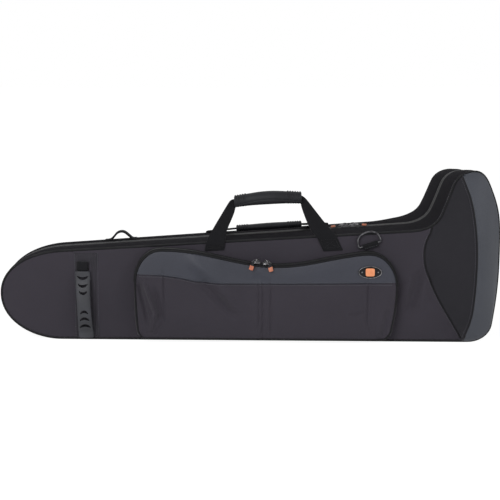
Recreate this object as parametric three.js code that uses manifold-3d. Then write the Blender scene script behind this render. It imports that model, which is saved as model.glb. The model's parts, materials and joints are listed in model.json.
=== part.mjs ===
import * as THREE from 'three';
import { mergeVertices } from 'three/addons/utils/BufferGeometryUtils.js';
import Module from 'manifold-3d';

const wasm = await Module();
wasm.setup();

// Contoured trombone case. All lengths are in millimetres. X runs along the case towards the bell
// end, Y from the front to the back and Z up. The case stands on its hinge side at Z = 0, the zip
// lies in the plane Y = 0 and X = 0 is at mid-length.

const clearance = 0.3;
const cutOverrun = 4;

// The outline seen from the front: the driving sizes of the whole case.
const outline = {
  length: 940,
  endHeight: 88,          // height of the left end's furthest point
  endRound: 115,          // length of the rounded left end
  neckLeftHeight: 171.5,  // top edge where the left rounding ends
  neckRightHeight: 212,   // top edge where the rise to the bell begins
  bellEndHeight: 170,     // height of the right end's furthest point
  // The bell's places along the case are measured back from its right end.
  neckBack: 165,
  shoulderBack: 110,      // foot of the steep rise
  shoulderHeight: 243,
  browBack: 89,           // head of the steep rise
  browHeight: 298,
  crownBack: 50,          // highest point
  crownHeight: 324,
  cheekBack: 15,
  cheekHeight: 283,
  heelBack: 11,
  heelHeight: 34,
  soleBack: 55,           // where the flat bottom ends
  shoulderSlope: 66,
  browSlope: 69,
  cheekSlope: -68,
  heelSlope: 81,
};
const halfLength = outline.length / 2;
const fromLeftEnd = (distance) => distance - halfLength;
const fromBellEnd = (back) => halfLength - back;
// How far in from the nearer end of the case these pieces begin.
const setIn = { band: 141, topLoop: 193, leftRest: 125, rightRest: 288, store: 145 };
const neckLeft = fromLeftEnd(outline.endRound);
const neckRight = fromBellEnd(outline.neckBack);
const sole = fromBellEnd(outline.soleBack);
const neckRise = Math.atan2(outline.neckRightHeight - outline.neckLeftHeight, neckRight - neckLeft);

const shell = {
  wall: 9,
  frontDepthEnd: 58,      // front face to zip at the left end
  frontDepthBell: 119,    // front face to zip at the bell
  frontDeepestBack: 67,   // where the front face stops slanting out
  rearDepthEnd: 38,
  rearDepthNeck: 52,
  rearDepthBell: 110,
  rearFlareStartBack: 225,
  rearFlareEndBack: 125,
  crownDrop: 15,          // how much lower the bell's top is at the back than at the front
  liningGap: 1,
  lining: 3,
};
const frontDeepest = fromBellEnd(shell.frontDeepestBack);
const [flareStart, flareEnd] = [shell.rearFlareStartBack, shell.rearFlareEndBack].map(fromBellEnd);

const ridge = {
  height: 38,             // how far the bell ridge stands out of the front face
  seamBack: 139,          // where the bell's dark panel begins, at mid-height
  crestBack: 50,          // the ridge at mid-height
  bow: 26,                // how far its ends lean back towards the neck
  rearHeight: 10,
};

const piping = { proud: 1.2, rebate: 4 };
const pipingRadius = (piping.proud + piping.rebate - clearance) / 2;
const floorGap = piping.proud;
const zip = { width: 13, rebate: 1.5, parting: 0.15 };
const spine = { rootReach: 0.6, lidStart: 0.9 };

const colours = {
  nylon: 0x38363a, band: 0x43474e, trim: 0x1a1a1c,
  lining: 0x202022, foam: 0x2a2a2c, metal: 0xb8b8bc, copper: 0xb5562e, plastic: 0x1e1e20,
};
const finishes = {
  fabric: { roughness: 0.92, metalness: 0 },
  smooth: { roughness: 0.55, metalness: 0 },
  metal: { roughness: 0.3, metalness: 1 },
};

const bellCase = new THREE.Group();

function place(name, geometry, colour, finish, parent = bellCase) {
  const material = new THREE.MeshStandardMaterial({ color: colours[colour], ...finishes[finish] });
  const mesh = new THREE.Mesh(geometry, material);
  mesh.name = name;
  parent.add(mesh);
  return mesh;
}

// Closed geometry from a list of corner triples, turned so that its faces point out.
function closedGeometry(corners) {
  let volume = 0;
  for (let i = 0; i < corners.length; i += 3) {
    volume += corners[i].dot(new THREE.Vector3().crossVectors(corners[i + 1], corners[i + 2]));
  }
  const order = volume < 0 ? [0, 2, 1] : [0, 1, 2];
  const places = [];
  for (let i = 0; i < corners.length; i += 3) {
    for (const k of order) places.push(...corners[i + k].toArray());
  }
  const geometry = new THREE.BufferGeometry();
  geometry.setAttribute('position', new THREE.Float32BufferAttribute(places, 3));
  return tidyGeometry(geometry);
}

// Shared corners are merged and collapsed triangles dropped.
function tidyGeometry(geometry) {
  geometry.deleteAttribute('normal');
  geometry.deleteAttribute('uv');
  const merged = mergeVertices(geometry, outline.length * mergeShare);
  const kept = [];
  const index = merged.index.array;
  for (let i = 0; i < index.length; i += 3) {
    const [a, b, c] = [index[i], index[i + 1], index[i + 2]];
    if (a !== b && b !== c && a !== c) kept.push(a, b, c);
  }
  merged.setIndex(kept);
  return merged;
}

function solid(geometry) {
  const merged = tidyGeometry(geometry.clone());
  return new wasm.Manifold(new wasm.Mesh({
    numProp: 3,
    vertProperties: new Float32Array(merged.attributes.position.array),
    triVerts: new Uint32Array(merged.index.array),
  }));
}

function fromSolid(manifold) {
  const mesh = manifold.getMesh();
  const geometry = new THREE.BufferGeometry();
  geometry.setAttribute('position', new THREE.Float32BufferAttribute(mesh.vertProperties, 3));
  geometry.setIndex(new THREE.Uint32BufferAttribute(mesh.triVerts, 1));
  return geometry;
}

const cut = (geometry, ...tools) =>
  fromSolid(tools.reduce((left, tool) => left.subtract(solid(tool)), solid(geometry)));
const join = (geometry, ...others) =>
  fromSolid(others.reduce((left, other) => left.add(solid(other)), solid(geometry)));

function quad(corners, a, b, c, d) {
  corners.push(a, b, c, a, c, d);
}

// Loft through sections of equally many points. The loft closes on itself, or gets flat ends.
function loft(sections, closed = false) {
  const corners = [];
  const count = sections[0].length;
  const last = closed ? sections.length : sections.length - 1;
  for (let i = 0; i < last; i++) {
    const [here, next] = [sections[i], sections[(i + 1) % sections.length]];
    for (let k = 0; k < count; k++) {
      const m = (k + 1) % count;
      quad(corners, here[k], next[k], next[m], here[m]);
    }
  }
  if (!closed) {
    const [first, end] = [sections[0], sections[sections.length - 1]];
    for (let k = 1; k < count - 1; k++) {
      corners.push(first[0], first[k], first[k + 1]);
      corners.push(end[0], end[k + 1], end[k]);
    }
  }
  return closedGeometry(corners);
}

function box(low, high) {
  const size = new THREE.Vector3().subVectors(high, low);
  const geometry = new THREE.BoxGeometry(size.x, size.y, size.z);
  geometry.translate(...new THREE.Vector3().addVectors(low, high).multiplyScalar(1 / 2).toArray());
  return tidyGeometry(geometry);
}

const vec = (x, y, z) => new THREE.Vector3(x, y, z);
const lerp = THREE.MathUtils.lerp;
const clamp = THREE.MathUtils.clamp;
const smooth = (value, low, high) => THREE.MathUtils.smoothstep(value, low, high);
const radians = THREE.MathUtils.degToRad;

// The outline's nodes, each with the direction of travel there, and how many steps lead to it.
const mergeShare = 1e-7;
const handleShare = 0.38;
const topNodes = [
  { x: -halfLength, z: outline.endHeight, slope: 90 },
  { x: neckLeft, z: outline.neckLeftHeight, slope: THREE.MathUtils.radToDeg(neckRise), steps: 6 },
  { x: neckRight, z: outline.neckRightHeight, slope: THREE.MathUtils.radToDeg(neckRise), steps: 8 },
  {
    x: fromBellEnd(outline.shoulderBack), z: outline.shoulderHeight, slope: outline.shoulderSlope, steps: 4,
  },
  { x: fromBellEnd(outline.browBack), z: outline.browHeight, slope: outline.browSlope, steps: 1 },
  { x: fromBellEnd(outline.crownBack), z: outline.crownHeight, slope: 0, steps: 4 },
  { x: fromBellEnd(outline.cheekBack), z: outline.cheekHeight, slope: outline.cheekSlope, steps: 3 },
  { x: halfLength, z: outline.bellEndHeight, slope: -90, steps: 4 },
];
const bottomNodes = [
  { x: -halfLength, z: outline.endHeight, slope: -90 },
  { x: neckLeft, z: floorGap, slope: 0, steps: 6 },
  { x: neckRight, z: floorGap, slope: 0, steps: 8 },
  { x: sole, z: floorGap, slope: 0, steps: 9 },
  { x: fromBellEnd(outline.heelBack), z: outline.heelHeight, slope: outline.heelSlope, steps: 3 },
  { x: halfLength, z: outline.bellEndHeight, slope: 90, steps: 4 },
];

function chain(nodes) {
  const points = [new THREE.Vector2(nodes[0].x, nodes[0].z)];
  for (let i = 1; i < nodes.length; i++) {
    const ends = [nodes[i - 1], nodes[i]].map((node) => new THREE.Vector2(node.x, node.z));
    const reach = ends[0].distanceTo(ends[1]) * handleShare;
    const [out, back] = [nodes[i - 1], nodes[i]].map((node) =>
      new THREE.Vector2(Math.cos(radians(node.slope)), Math.sin(radians(node.slope))).multiplyScalar(reach));
    const curve = new THREE.CubicBezierCurve(ends[0], ends[0].clone().add(out),
      ends[1].clone().sub(back), ends[1]);
    for (let k = 1; k <= nodes[i].steps; k++) points.push(curve.getPoint(k / nodes[i].steps));
  }
  return points;
}

// An outline holds its upper and lower chains, the loop they make and the normals into the case.
function makeRim(upper, lower) {
  const [top, bottom] = [chain(upper), chain(lower)];
  const end = top.length - 1;
  const loop = [...top, ...bottom.slice(1, end).reverse()];
  const normals = loop.map((unused, i) => {
    const before = loop[(i + loop.length - 1) % loop.length];
    const along = loop[(i + 1) % loop.length].clone().sub(before).normalize();
    return new THREE.Vector2(along.y, -along.x);
  });
  return { top, bottom, end, loop, normals };
}
const caseRim = makeRim(topNodes, bottomNodes);

// Heights on both chains above a place along the case.
function heightAt(points, x) {
  const i = clamp(points.findIndex((point) => point.x >= x), 1, points.length - 1);
  const [a, b] = [points[i - 1], points[i]];
  return lerp(a.y, b.y, clamp((x - a.x) / (b.x - a.x), 0, 1));
}
const neckTop = (x) => lerp(outline.neckLeftHeight, outline.neckRightHeight,
  clamp((x - neckLeft) / (neckRight - neckLeft), 0, 1));
const frontDepth = (x) => lerp(shell.frontDepthEnd, shell.frontDepthBell,
  clamp((x + halfLength) / (frontDeepest + halfLength), 0, 1));
const rearDepth = (x) => lerp(shell.rearDepthEnd, shell.rearDepthNeck,
  clamp((x + halfLength) / (flareStart + halfLength), 0, 1))
  + (shell.rearDepthBell - shell.rearDepthNeck) * smooth(x, flareStart, flareEnd);

// The bell's top sinks steadily from the front face to the deepest point at the back.
function sunk(x, y, z) {
  const share = (y + shell.frontDepthBell) / (shell.frontDepthBell + shell.rearDepthBell);
  const rise = Math.max(0, z - neckTop(x)) / (outline.crownHeight - outline.neckRightHeight);
  return vec(x, y, z - shell.crownDrop * Math.max(0, share) * rise);
}

function inset(rim, i, distance) {
  const at = (i + rim.loop.length) % rim.loop.length;
  return rim.loop[at].clone().addScaledVector(rim.normals[at], distance);
}

const leanShare = 0.9;
const riseShare = 1.25;
const fallShare = 1.5;
const fadeShare = 0.55;

// How far a panel stands out of its edge plane over the bell's rim.
function swell(x, z, ridgeHeight) {
  const [low, high] = [heightAt(caseRim.bottom, x), heightAt(caseRim.top, x)];
  const across = clamp((z - low) / Math.max(high - low, clearance), 0, 1);
  const middle = outline.bellEndHeight;
  const lean = ((z - middle) / middle) ** 2;
  const crest = fromBellEnd(ridge.crestBack) - ridge.bow * lean;
  const seam = fromBellEnd(ridge.seamBack);
  const start = seam + (crest - seam) * lean * leanShare;
  const rising = clamp((x - start) / (crest - start), 0, 1) ** riseShare;
  const falling = 1 - clamp((x - crest) / (halfLength - crest), 0, 1) ** fallShare;
  const fade = Math.sin(Math.PI * across) ** fadeShare;
  return ridgeHeight * fade * (x < crest ? rising : falling);
}
function ringPoint(rim, i, distance, depth) {
  const point = inset(rim, i, distance);
  return sunk(point.x, depth(point.x), point.y);
}

// A closed ring round an outline. A section is a list of [inset, y(x)] pairs.
function ringGeometry(rim, section) {
  return loft(rim.loop.map((unused, i) =>
    section.map(([distance, depth]) => ringPoint(rim, i, distance, depth))), true);
}

// The face that fills an outline at an inset. Its edge lies on the ring's own points.
function faceGrid(rim, distance, edge, face, rows) {
  const { end, loop } = rim;
  const lines = [];
  for (let i = 0; i <= end; i++) {
    lines.push(Array.from({ length: rows + 1 }, (unused, j) => {
      if (i === 0 || i === end || j === rows) return ringPoint(rim, i, distance, edge);
      if (j === 0) return ringPoint(rim, loop.length - i, distance, edge);
      const point = inset(rim, loop.length - i, distance).lerp(inset(rim, i, distance), j / rows);
      return sunk(point.x, face(point.x, point.y), point.y);
    }));
  }
  const corners = [];
  for (let i = 0; i < end; i++) {
    for (let j = 0; j < rows; j++) {
      quad(corners, lines[i][j], lines[i + 1][j], lines[i + 1][j + 1], lines[i][j + 1]);
    }
  }
  return corners;
}

// A plate or tray: a front face, walls through the rings between, and a back face.
// Each ring is [inset, y(x)], and the faces belong to the first ring and the last.
function trayGeometry(rim, rings, frontFace, backFace, rows = 6) {
  const corners = faceGrid(rim, ...rings[0], frontFace, rows);
  const count = rim.loop.length;
  for (let r = 1; r < rings.length; r++) {
    for (let i = 0; i < count; i++) {
      quad(corners, ringPoint(rim, i, ...rings[r - 1]), ringPoint(rim, i + 1, ...rings[r - 1]),
        ringPoint(rim, i + 1, ...rings[r]), ringPoint(rim, i, ...rings[r]));
    }
  }
  const back = faceGrid(rim, ...rings[rings.length - 1], backFace, rows);
  for (let i = 0; i < back.length; i += 3) corners.push(back[i], back[i + 2], back[i + 1]);
  return closedGeometry(corners);
}

// The section of a round cord, as [inset, y(x)] pairs.
const cordSides = 6;
const cordSection = (radius, distance, depthAt) => Array.from({ length: cordSides }, (unused, k) => {
  const angle = 2 * Math.PI * k / cordSides;
  return [distance + radius * Math.cos(angle), depthAt(radius * Math.sin(angle))];
});

// One shell. Side is -1 for the lid, in front of the zip, and 1 for the rear shell.
const liningShare = 0.7;
function buildShell(name, side, depth, swellHeight) {
  const at = (fromFace) => (x) => side * (depth(x) - fromFace);
  const flat = (distance) => () => side * distance;
  const face = (fromFace, share = 1) =>
    (x, z) => side * (depth(x) - fromFace + share * swell(x, z, swellHeight));
  const edge = piping.rebate;
  place(`${name}_frame`, ringGeometry(caseRim, [
    [zip.rebate, flat(zip.parting)], [zip.rebate, flat(zip.width)], [0, flat(zip.width)],
    [0, at(edge)], [shell.wall, at(edge)], [shell.wall, flat(zip.parting)],
  ]), 'nylon', 'fabric');

  const panelBack = edge - clearance;
  const panelRings = [[edge, at(0)], [edge, at(panelBack)]];
  const panelFaces = [face(0), face(panelBack)];
  if (side > 0) [panelRings, panelFaces].forEach((list) => list.reverse());
  place(`${name}_panel`, trayGeometry(caseRim, panelRings, ...panelFaces), 'nylon', 'fabric');

  const centre = pipingRadius - piping.proud;
  place(`${name}_piping`, ringGeometry(caseRim,
    cordSection(pipingRadius, centre, (back) => at(centre + back))), 'trim', 'smooth');

  // The lining is a sheet behind the panel and a strip round the walls.
  const outside = shell.wall + shell.liningGap;
  const inside = outside + shell.lining;
  const liningOuter = panelBack + shell.liningGap;
  const liningInner = liningOuter + shell.lining;
  const liningRings = [[outside, at(liningOuter)], [outside, at(liningInner)]];
  const liningFaces = [face(liningOuter, liningShare), face(liningInner, liningShare)];
  if (side > 0) [liningRings, liningFaces].forEach((list) => list.reverse());
  place(`${name}_lining`, trayGeometry(caseRim, liningRings, ...liningFaces), 'lining', 'fabric');
  const [stripStart, stripEnd] = [flat(shell.liningGap), at(liningInner + clearance)];
  place(`${name}_lining_strip`, ringGeometry(caseRim, [
    [outside, stripStart], [outside, stripEnd], [inside, stripEnd], [inside, stripStart],
  ]), 'lining', 'fabric');

  // The zip tape lies in the frame's rebate and runs from one end of the flat bottom to the other.
  const start = caseRim.loop.length - topNodes[1].steps;
  const steps = caseRim.loop.length - (bottomNodes[2].steps + bottomNodes[3].steps);
  const tape = Array.from({ length: steps + 1 }, (unused, k) => [
    [0, zip.parting], [0, zip.width - clearance],
    [zip.rebate - clearance, zip.width - clearance], [zip.rebate - clearance, zip.parting],
  ].map(([distance, y]) => ringPoint(caseRim, start + k, distance, flat(y))));
  place(`${name}_zip_tape`, loft(tape), 'trim', 'fabric');

  // This shell's half of the hinge spine, sewn flush into the bottom.
  const near = side > 0 ? -spine.rootReach : -spine.lidStart;
  const far = side * (zip.width - clearance);
  place(`${name}_spine`, box(
    vec(neckLeft + clearance, Math.min(near, far), 0),
    vec(sole - clearance, Math.max(near, far), floorGap + zip.rebate - clearance)), 'trim', 'fabric');
}

buildShell('lid', -1, frontDepth, ridge.height);
buildShell('rear', 1, rearDepth, ridge.rearHeight);

const frontSlant = Math.atan2(shell.frontDepthBell - shell.frontDepthEnd, frontDeepest + halfLength);

// Webbing of a constant width and thickness along a path, with its width along one direction.
function strapGeometry(path, widthDirection, width, thickness) {
  const half = widthDirection.clone().normalize().multiplyScalar(width / 2);
  return loft(path.map((point, i) => {
    const before = path[Math.max(i - 1, 0)];
    const after = path[Math.min(i + 1, path.length - 1)];
    const along = after.clone().sub(before).normalize();
    const out = new THREE.Vector3().crossVectors(half, along).setLength(thickness / 2);
    return [
      point.clone().add(half).add(out), point.clone().add(half).sub(out),
      point.clone().sub(half).sub(out), point.clone().sub(half).add(out),
    ];
  }));
}

// A flat piece cut to an outline in X and Z, with its thickness along Y.
function flatPiece(points, thickness) {
  const shape = new THREE.Shape(points.map(([x, z]) => new THREE.Vector2(x, z)));
  const geometry = new THREE.ExtrudeGeometry(shape, { depth: thickness, bevelEnabled: false });
  geometry.rotateX(Math.PI / 2);
  geometry.translate(0, thickness / 2, 0);
  return tidyGeometry(geometry);
}

// Wire bent along a closed or open path that lies in a plane with the given normal.
function wireGeometry(path, radius, normal, closed) {
  return loft(path.map((point, i) => {
    const count = path.length;
    const before = closed ? path[(i + count - 1) % count] : path[Math.max(i - 1, 0)];
    const after = closed ? path[(i + 1) % count] : path[Math.min(i + 1, count - 1)];
    const along = after.clone().sub(before).normalize();
    const out = new THREE.Vector3().crossVectors(along, normal);
    return Array.from({ length: wireSides }, (unused, k) => {
      const angle = 2 * Math.PI * k / wireSides;
      return point.clone().addScaledVector(out, radius * Math.cos(angle))
        .addScaledVector(normal, radius * Math.sin(angle));
    });
  }), closed);
}

const wireSides = 6;

// A carrying handle in its own frame: X along its hinge line, Z up its legs and Y across it.
const handle = {
  span: 208,              // between the two legs on the hinge line
  gripStart: 40,
  gripLength: 126,
  gripRise: 74,           // hinge line to the middle of the grip
  gripArch: 4,
  gripHeight: 25,
  gripDepth: 27,
  rearGripDepth: 13,      // the rear grip is flatter and lies down beside the zip
  zipRoom: 6.3,           // lifts it so that the zip's sliders run beneath its legs
  webbing: 3,
  core: 11,               // webbing where it runs through the grip
  ribHeight: 1.6,
  ribPitch: 5,
  ribs: 3,
};
// Edges of the legs, as shares of the way to the grip and of the grip's rise.
const leftOuterShares = [[-0.46, 0], [-0.33, 0.15], [0.65, 0.93], [0.86, 1.08]];
const leftInnerShares = [[0.98, 0.72], [0.5, 0.22], [0.45, 0]];
const rightInnerShares = [[-0.49, 0], [-0.76, 0.19], [-1.08, 0.72]];
const rightOuterShares = [[-0.98, 1.08], [-0.5, 0.7], [0.05, 0.27], [0.48, 0]];

function handlePieces(gripDepth) {
  const start = handle.gripStart;
  const end = start + handle.gripLength;
  const rise = handle.gripRise;
  const left = ([x, z]) => [x * start, z * rise];
  const right = ([x, z]) => [handle.span + x * start, z * rise];
  const [low, high] = [rise - handle.core / 2, rise + handle.core / 2];
  const strap = flatPiece([
    ...leftOuterShares.map(left), [start, high], [end, high],
    ...rightOuterShares.map(right), ...rightInnerShares.map(right),
    [end, low], [start, low], ...leftInnerShares.map(left),
  ], handle.webbing);
  // Each leg has a rounded foot, centred on the hinge line.
  const foot = ([outer], [inner]) => {
    const radius = handle.webbing / 2;
    const round = new THREE.CylinderGeometry(radius, radius, inner - outer, footSides);
    round.rotateZ(Math.PI / 2);
    round.translate((outer + inner) / 2, 0, 0);
    return round;
  };
  const webbing = join(strap, foot(left(leftOuterShares[0]), left(leftInnerShares.at(-1))),
    foot(right(rightInnerShares[0]), right(rightOuterShares.at(-1))));

  // The grip swells in the middle, arches a little and has three ribs at each end.
  const stations = [];
  const ribZone = handle.ribs * handle.ribPitch;
  for (let k = 0; k < handle.ribs; k++) {
    for (const [share, swellHere] of ribProfileShares) {
      stations.push([(k + share) * handle.ribPitch, swellHere * handle.ribHeight]);
    }
  }
  const body = Array.from({ length: gripSteps + 1 }, (unused, k) =>
    [ribZone + (handle.gripLength - 2 * ribZone) * k / gripSteps, 0]);
  const mirrored = stations.map(([x, rib]) => [handle.gripLength - x, rib]).reverse();
  const sections = [...stations, ...body, ...mirrored].map(([x, rib]) => {
    const share = x / handle.gripLength;
    const arch = handle.gripArch * Math.sin(Math.PI * share);
    const bulge = gripWaistShare + (1 - gripWaistShare) * Math.sin(Math.PI * share) ** 2;
    return Array.from({ length: gripSides }, (unused, k) => {
      const angle = 2 * Math.PI * (k + 1 / 2) / gripSides;
      return vec(start + x,
        (gripDepth / 2 * bulge + rib) * Math.cos(angle),
        rise + arch + (handle.gripHeight / 2 * bulge + rib) * Math.sin(angle));
    });
  });
  const slot = box(
    vec(start - cutOverrun, -handle.webbing / 2 - clearance, low - clearance),
    vec(end + cutOverrun, handle.webbing / 2 + clearance, high + clearance));
  const legs = box(
    vec(start - cutOverrun, -handle.webbing / 2 - clearance, 0),
    vec(start + legSeat, handle.webbing / 2 + clearance, rise + handle.gripHeight));
  const legsRight = box(
    vec(end - legSeat, -handle.webbing / 2 - clearance, 0),
    vec(end + cutOverrun, handle.webbing / 2 + clearance, rise + handle.gripHeight));
  return [webbing, cut(loft(sections), slot, legs, legsRight)];
}
const ribProfileShares = [[0, 0], [0.3, 1], [0.65, 1], [0.95, 0]];
const footSides = 12;
const gripSteps = 6;
const gripSides = 10;
const gripWaistShare = 0.86;
const legSeat = 6;

// The legs' hinge lines lie where the webbing is sewn down, just off the top edges of the shells.
const anchor = {
  left: -61, width: 37, leftLength: 16, rightLength: 29, leftShift: -2, rightShift: 13,
  overPiping: 5, ease: 4,
};
const standoff = piping.proud + clearance + handle.webbing / 2;

function placeHandle(name, depth, side, gripDepth, lift, lean) {
  const foot = (x) => vec(x, side * (depth(x) + standoff), neckTop(x) + lift);
  const [left, right] = [foot(anchor.left), foot(anchor.left + handle.span)];
  const along = right.clone().sub(left).normalize();
  const upright = vec(0, 0, 1).addScaledVector(along, -along.z).normalize();
  const back = new THREE.Vector3().crossVectors(upright, along);
  const group = new THREE.Group();
  group.quaternion.setFromRotationMatrix(new THREE.Matrix4().makeBasis(along, back, upright));
  group.rotateX(lean);
  group.position.copy(left);
  bellCase.add(group);
  const [webbing, grip] = handlePieces(gripDepth);
  place(`${name}_webbing`, webbing, 'trim', 'fabric', group);
  place(`${name}_grip`, grip, 'plastic', 'smooth', group);

  // The ends of the legs are sewn down over the piping and onto the face of the shell.
  const ends = [['left', left.x, anchor.leftShift, anchor.leftLength],
    ['right', right.x, anchor.rightShift, anchor.rightLength]];
  for (const [end, x, shift, length] of ends) {
    const drops = [[handle.webbing / 2 + clearance - lift, standoff], [anchor.overPiping, standoff],
      [anchor.overPiping + anchor.ease, clearance + handle.webbing / 2],
      [length, clearance + handle.webbing / 2]];
    const path = drops.map(([drop, out]) => {
      const here = x + shift * Math.max(drop, 0) / length;
      return vec(here, side * (depth(here) + out), neckTop(here) - drop);
    });
    const across = vec(anchor.width, side * (depth(x + anchor.width) - depth(x)),
      neckTop(x + anchor.width) - neckTop(x));
    const strap = strapGeometry(path, across, anchor.width, handle.webbing);
    place(`${name}_anchor_${end}`, strap, 'trim', 'fabric');
  }
}
const gripReach = handle.rearGripDepth / 2 + handle.ribHeight + clearance;
placeHandle('front_handle', frontDepth, -1, handle.gripDepth, 0, 0);
placeHandle('rear_handle', rearDepth, 1, handle.rearGripDepth, standoff,
  Math.PI / 2 - Math.asin((gripReach + handle.zipRoom - standoff) / handle.gripRise));

// Band sewn round the left end, with a moulded grip held at its two ends. The grip is a bowed strap
// that swells towards both ends, with three oval slots above its smooth middle and three below.
const band = { left: fromLeftEnd(setIn.band), width: 46, thickness: 1.6, margin: 1.5 };
const endGrip = {
  inset: 6.5, foot: 5, top: 133, drift: 5, endWidth: 29, waistWidth: 26.5, thickness: 8, seat: 14, lift: 11,
  capInset: 4.5, capWidth: 23.5, capTop: 151, capThickness: 6,
  slots: [[121.5, 21], [107.5, 18.5], [94, 15.5], [55.5, 15.5], [42, 18.5], [28, 21]],
  slotHeight: 8, slotSides: 8,
};
const bowShare = 0.6;
const slotRootShare = 0.35;
const gripStationShares = [0, 0.11, 0.13, 0.18, 0.26, 0.38, 0.5, 0.62, 0.74, 0.82, 0.87, 0.89, 1];
const roundShares = [[0.12, 0], [0.88, 0], [1, 0.35], [0.9, 0.85], [0.5, 1], [0.1, 0.85], [0, 0.35]];
const onFront = (x, z, out) => vec(x, -(frontDepth(x) + out), z);

function buildEnd() {
  const right = band.left + band.width;
  const inset = piping.rebate + band.margin;
  const [low, high] = [floorGap + inset, neckTop(band.left) - inset];
  const plate = [clearance, clearance + band.thickness].map((out) => [
    onFront(band.left, low, out), onFront(right, low, out),
    onFront(right, high, out), onFront(band.left, high, out)]);
  place('end_band', loft(plate), 'trim', 'fabric');

  const seatOut = 2 * clearance + band.thickness;
  const section = (left, z, out, width, thickness) => roundShares.map(([across, deep]) =>
    onFront(left + across * width, z, out + deep * thickness));
  const height = endGrip.top - endGrip.foot;
  const gripLeft = (z) => band.left + endGrip.inset - endGrip.drift * (z - endGrip.foot) / height;
  const free = height - 2 * endGrip.seat;
  const bow = (z) => Math.sin(Math.PI * clamp((z - endGrip.foot - endGrip.seat) / free, 0, 1));
  const bowOut = (z) => seatOut + endGrip.lift * bow(z) ** bowShare;
  const grip = loft(gripStationShares.map((share) => {
    const z = endGrip.foot + share * height;
    const width = lerp(endGrip.endWidth, endGrip.waistWidth, bow(z));
    return section(gripLeft(z) + (endGrip.endWidth - width) / 2, z, bowOut(z), width, endGrip.thickness);
  }));
  const slots = endGrip.slots.map(([z, width]) => {
    const slot = new THREE.CylinderGeometry(width / 2, width / 2, 2 * endGrip.thickness, endGrip.slotSides);
    slot.scale(1, 1, endGrip.slotHeight / width);
    const middle = onFront(gripLeft(z) + endGrip.endWidth / 2, z, bowOut(z));
    slot.translate(middle.x, middle.y - endGrip.thickness * slotRootShare, middle.z);
    return slot;
  });
  place('end_grip', cut(grip, ...slots), 'plastic', 'smooth');
  const capLeft = band.left + endGrip.capInset;
  place('end_grip_cap', loft([endGrip.top + clearance, endGrip.capTop].map((z) =>
    section(capLeft, z, seatOut, endGrip.capWidth, endGrip.capThickness))), 'trim', 'smooth');
}
buildEnd();

// Small webbing loop, sewn to the top of the rear shell at both ends.
const topLoop = {
  left: fromLeftEnd(setIn.topLoop), length: 62, height: 16, y: 26, width: 18, thickness: 2.4,
};
const loopShares = [
  [0, 0], [0.16, 0], [0.26, 0.3], [0.37, 0.85], [0.5, 1], [0.62, 0.9], [0.76, 0.4], [0.86, 0], [1, 0],
];
place('top_loop', strapGeometry(loopShares.map(([x, z]) => {
  const here = topLoop.left + x * topLoop.length;
  return vec(here, topLoop.y, neckTop(here) + clearance + topLoop.thickness / 2 + z * topLoop.height);
}), vec(0, 1, 0), topLoop.width, topLoop.thickness), 'trim', 'fabric');

// D-ring in the frame of its bar: X along the bar and Z up the ring.
const dRing = {
  x: 228, z: 186, tilt: 18, width: 43, height: 24, wire: 1.8, tabWidth: 30, tabLength: 6, tab: 1.6,
};
const arcShare = 0.62;
const dGroup = new THREE.Group();
dGroup.position.copy(onFront(dRing.x, dRing.z, 2 * clearance + dRing.tab + dRing.wire + clearance));
dGroup.rotation.set(0, -radians(dRing.tilt), -frontSlant, 'ZYX');
bellCase.add(dGroup);
const halfRing = dRing.width / 2;
const ringPath = [vec(-halfRing, 0, 0), vec(0, 0, 0), vec(halfRing, 0, 0)];
const arcSteps = 9;
for (let k = 1; k < arcSteps; k++) {
  const angle = Math.PI * k / arcSteps;
  ringPath.push(vec(halfRing * Math.cos(angle), 0, dRing.height * Math.sin(angle) ** arcShare));
}
place('d_ring', wireGeometry(ringPath, dRing.wire, vec(0, 1, 0), true), 'metal', 'metal', dGroup);
// The tab is folded round the bar, with both its ends running down the face.
const tabIn = dRing.wire + clearance;
const tabMid = tabIn + clearance + dRing.tab / 2;
const foldSteps = 6;
const fold = Array.from({ length: foldSteps + 1 }, (unused, k) => Math.PI * k / foldSteps)
  .map((angle) => vec(0, tabMid * Math.cos(angle), tabMid * Math.sin(angle)));
const tabEnd = (side) => vec(0, side * tabMid, -dRing.tabLength);
place('d_ring_tab', strapGeometry([tabEnd(1), ...fold, tabEnd(-1)], vec(1, 0, 0), dRing.tabWidth, dRing.tab),
  'trim', 'fabric', dGroup);

// A zip slider in its own frame: X along the zip, Z out of the face that it runs on. The bail, the
// link and the tip are turned about Z by the swing, and the link tilts down about its own end bar.
const slider = {
  length: 15, width: 10, thickness: 4, nose: 3, bailWire: 0.9, bailSpan: 8, bailHeight: 3.65,
  linkWire: 0.8, barLift: 0.75, linkLength: 13, linkWidth: 7.4, linkCorner: 1.6,
  tipLength: 17, tipWidth: 8.4, tipNeck: 4.4, tipThickness: 3.4, eye: 1.15, eyeInset: 2.2,
};
const barHeight = slider.thickness + slider.barLift + slider.linkWire;
const tipOutlineShares = [[0, 0.5], [0.24, 0.5], [0.36, 1], [0.95, 1], [1, 0.7]];

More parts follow.
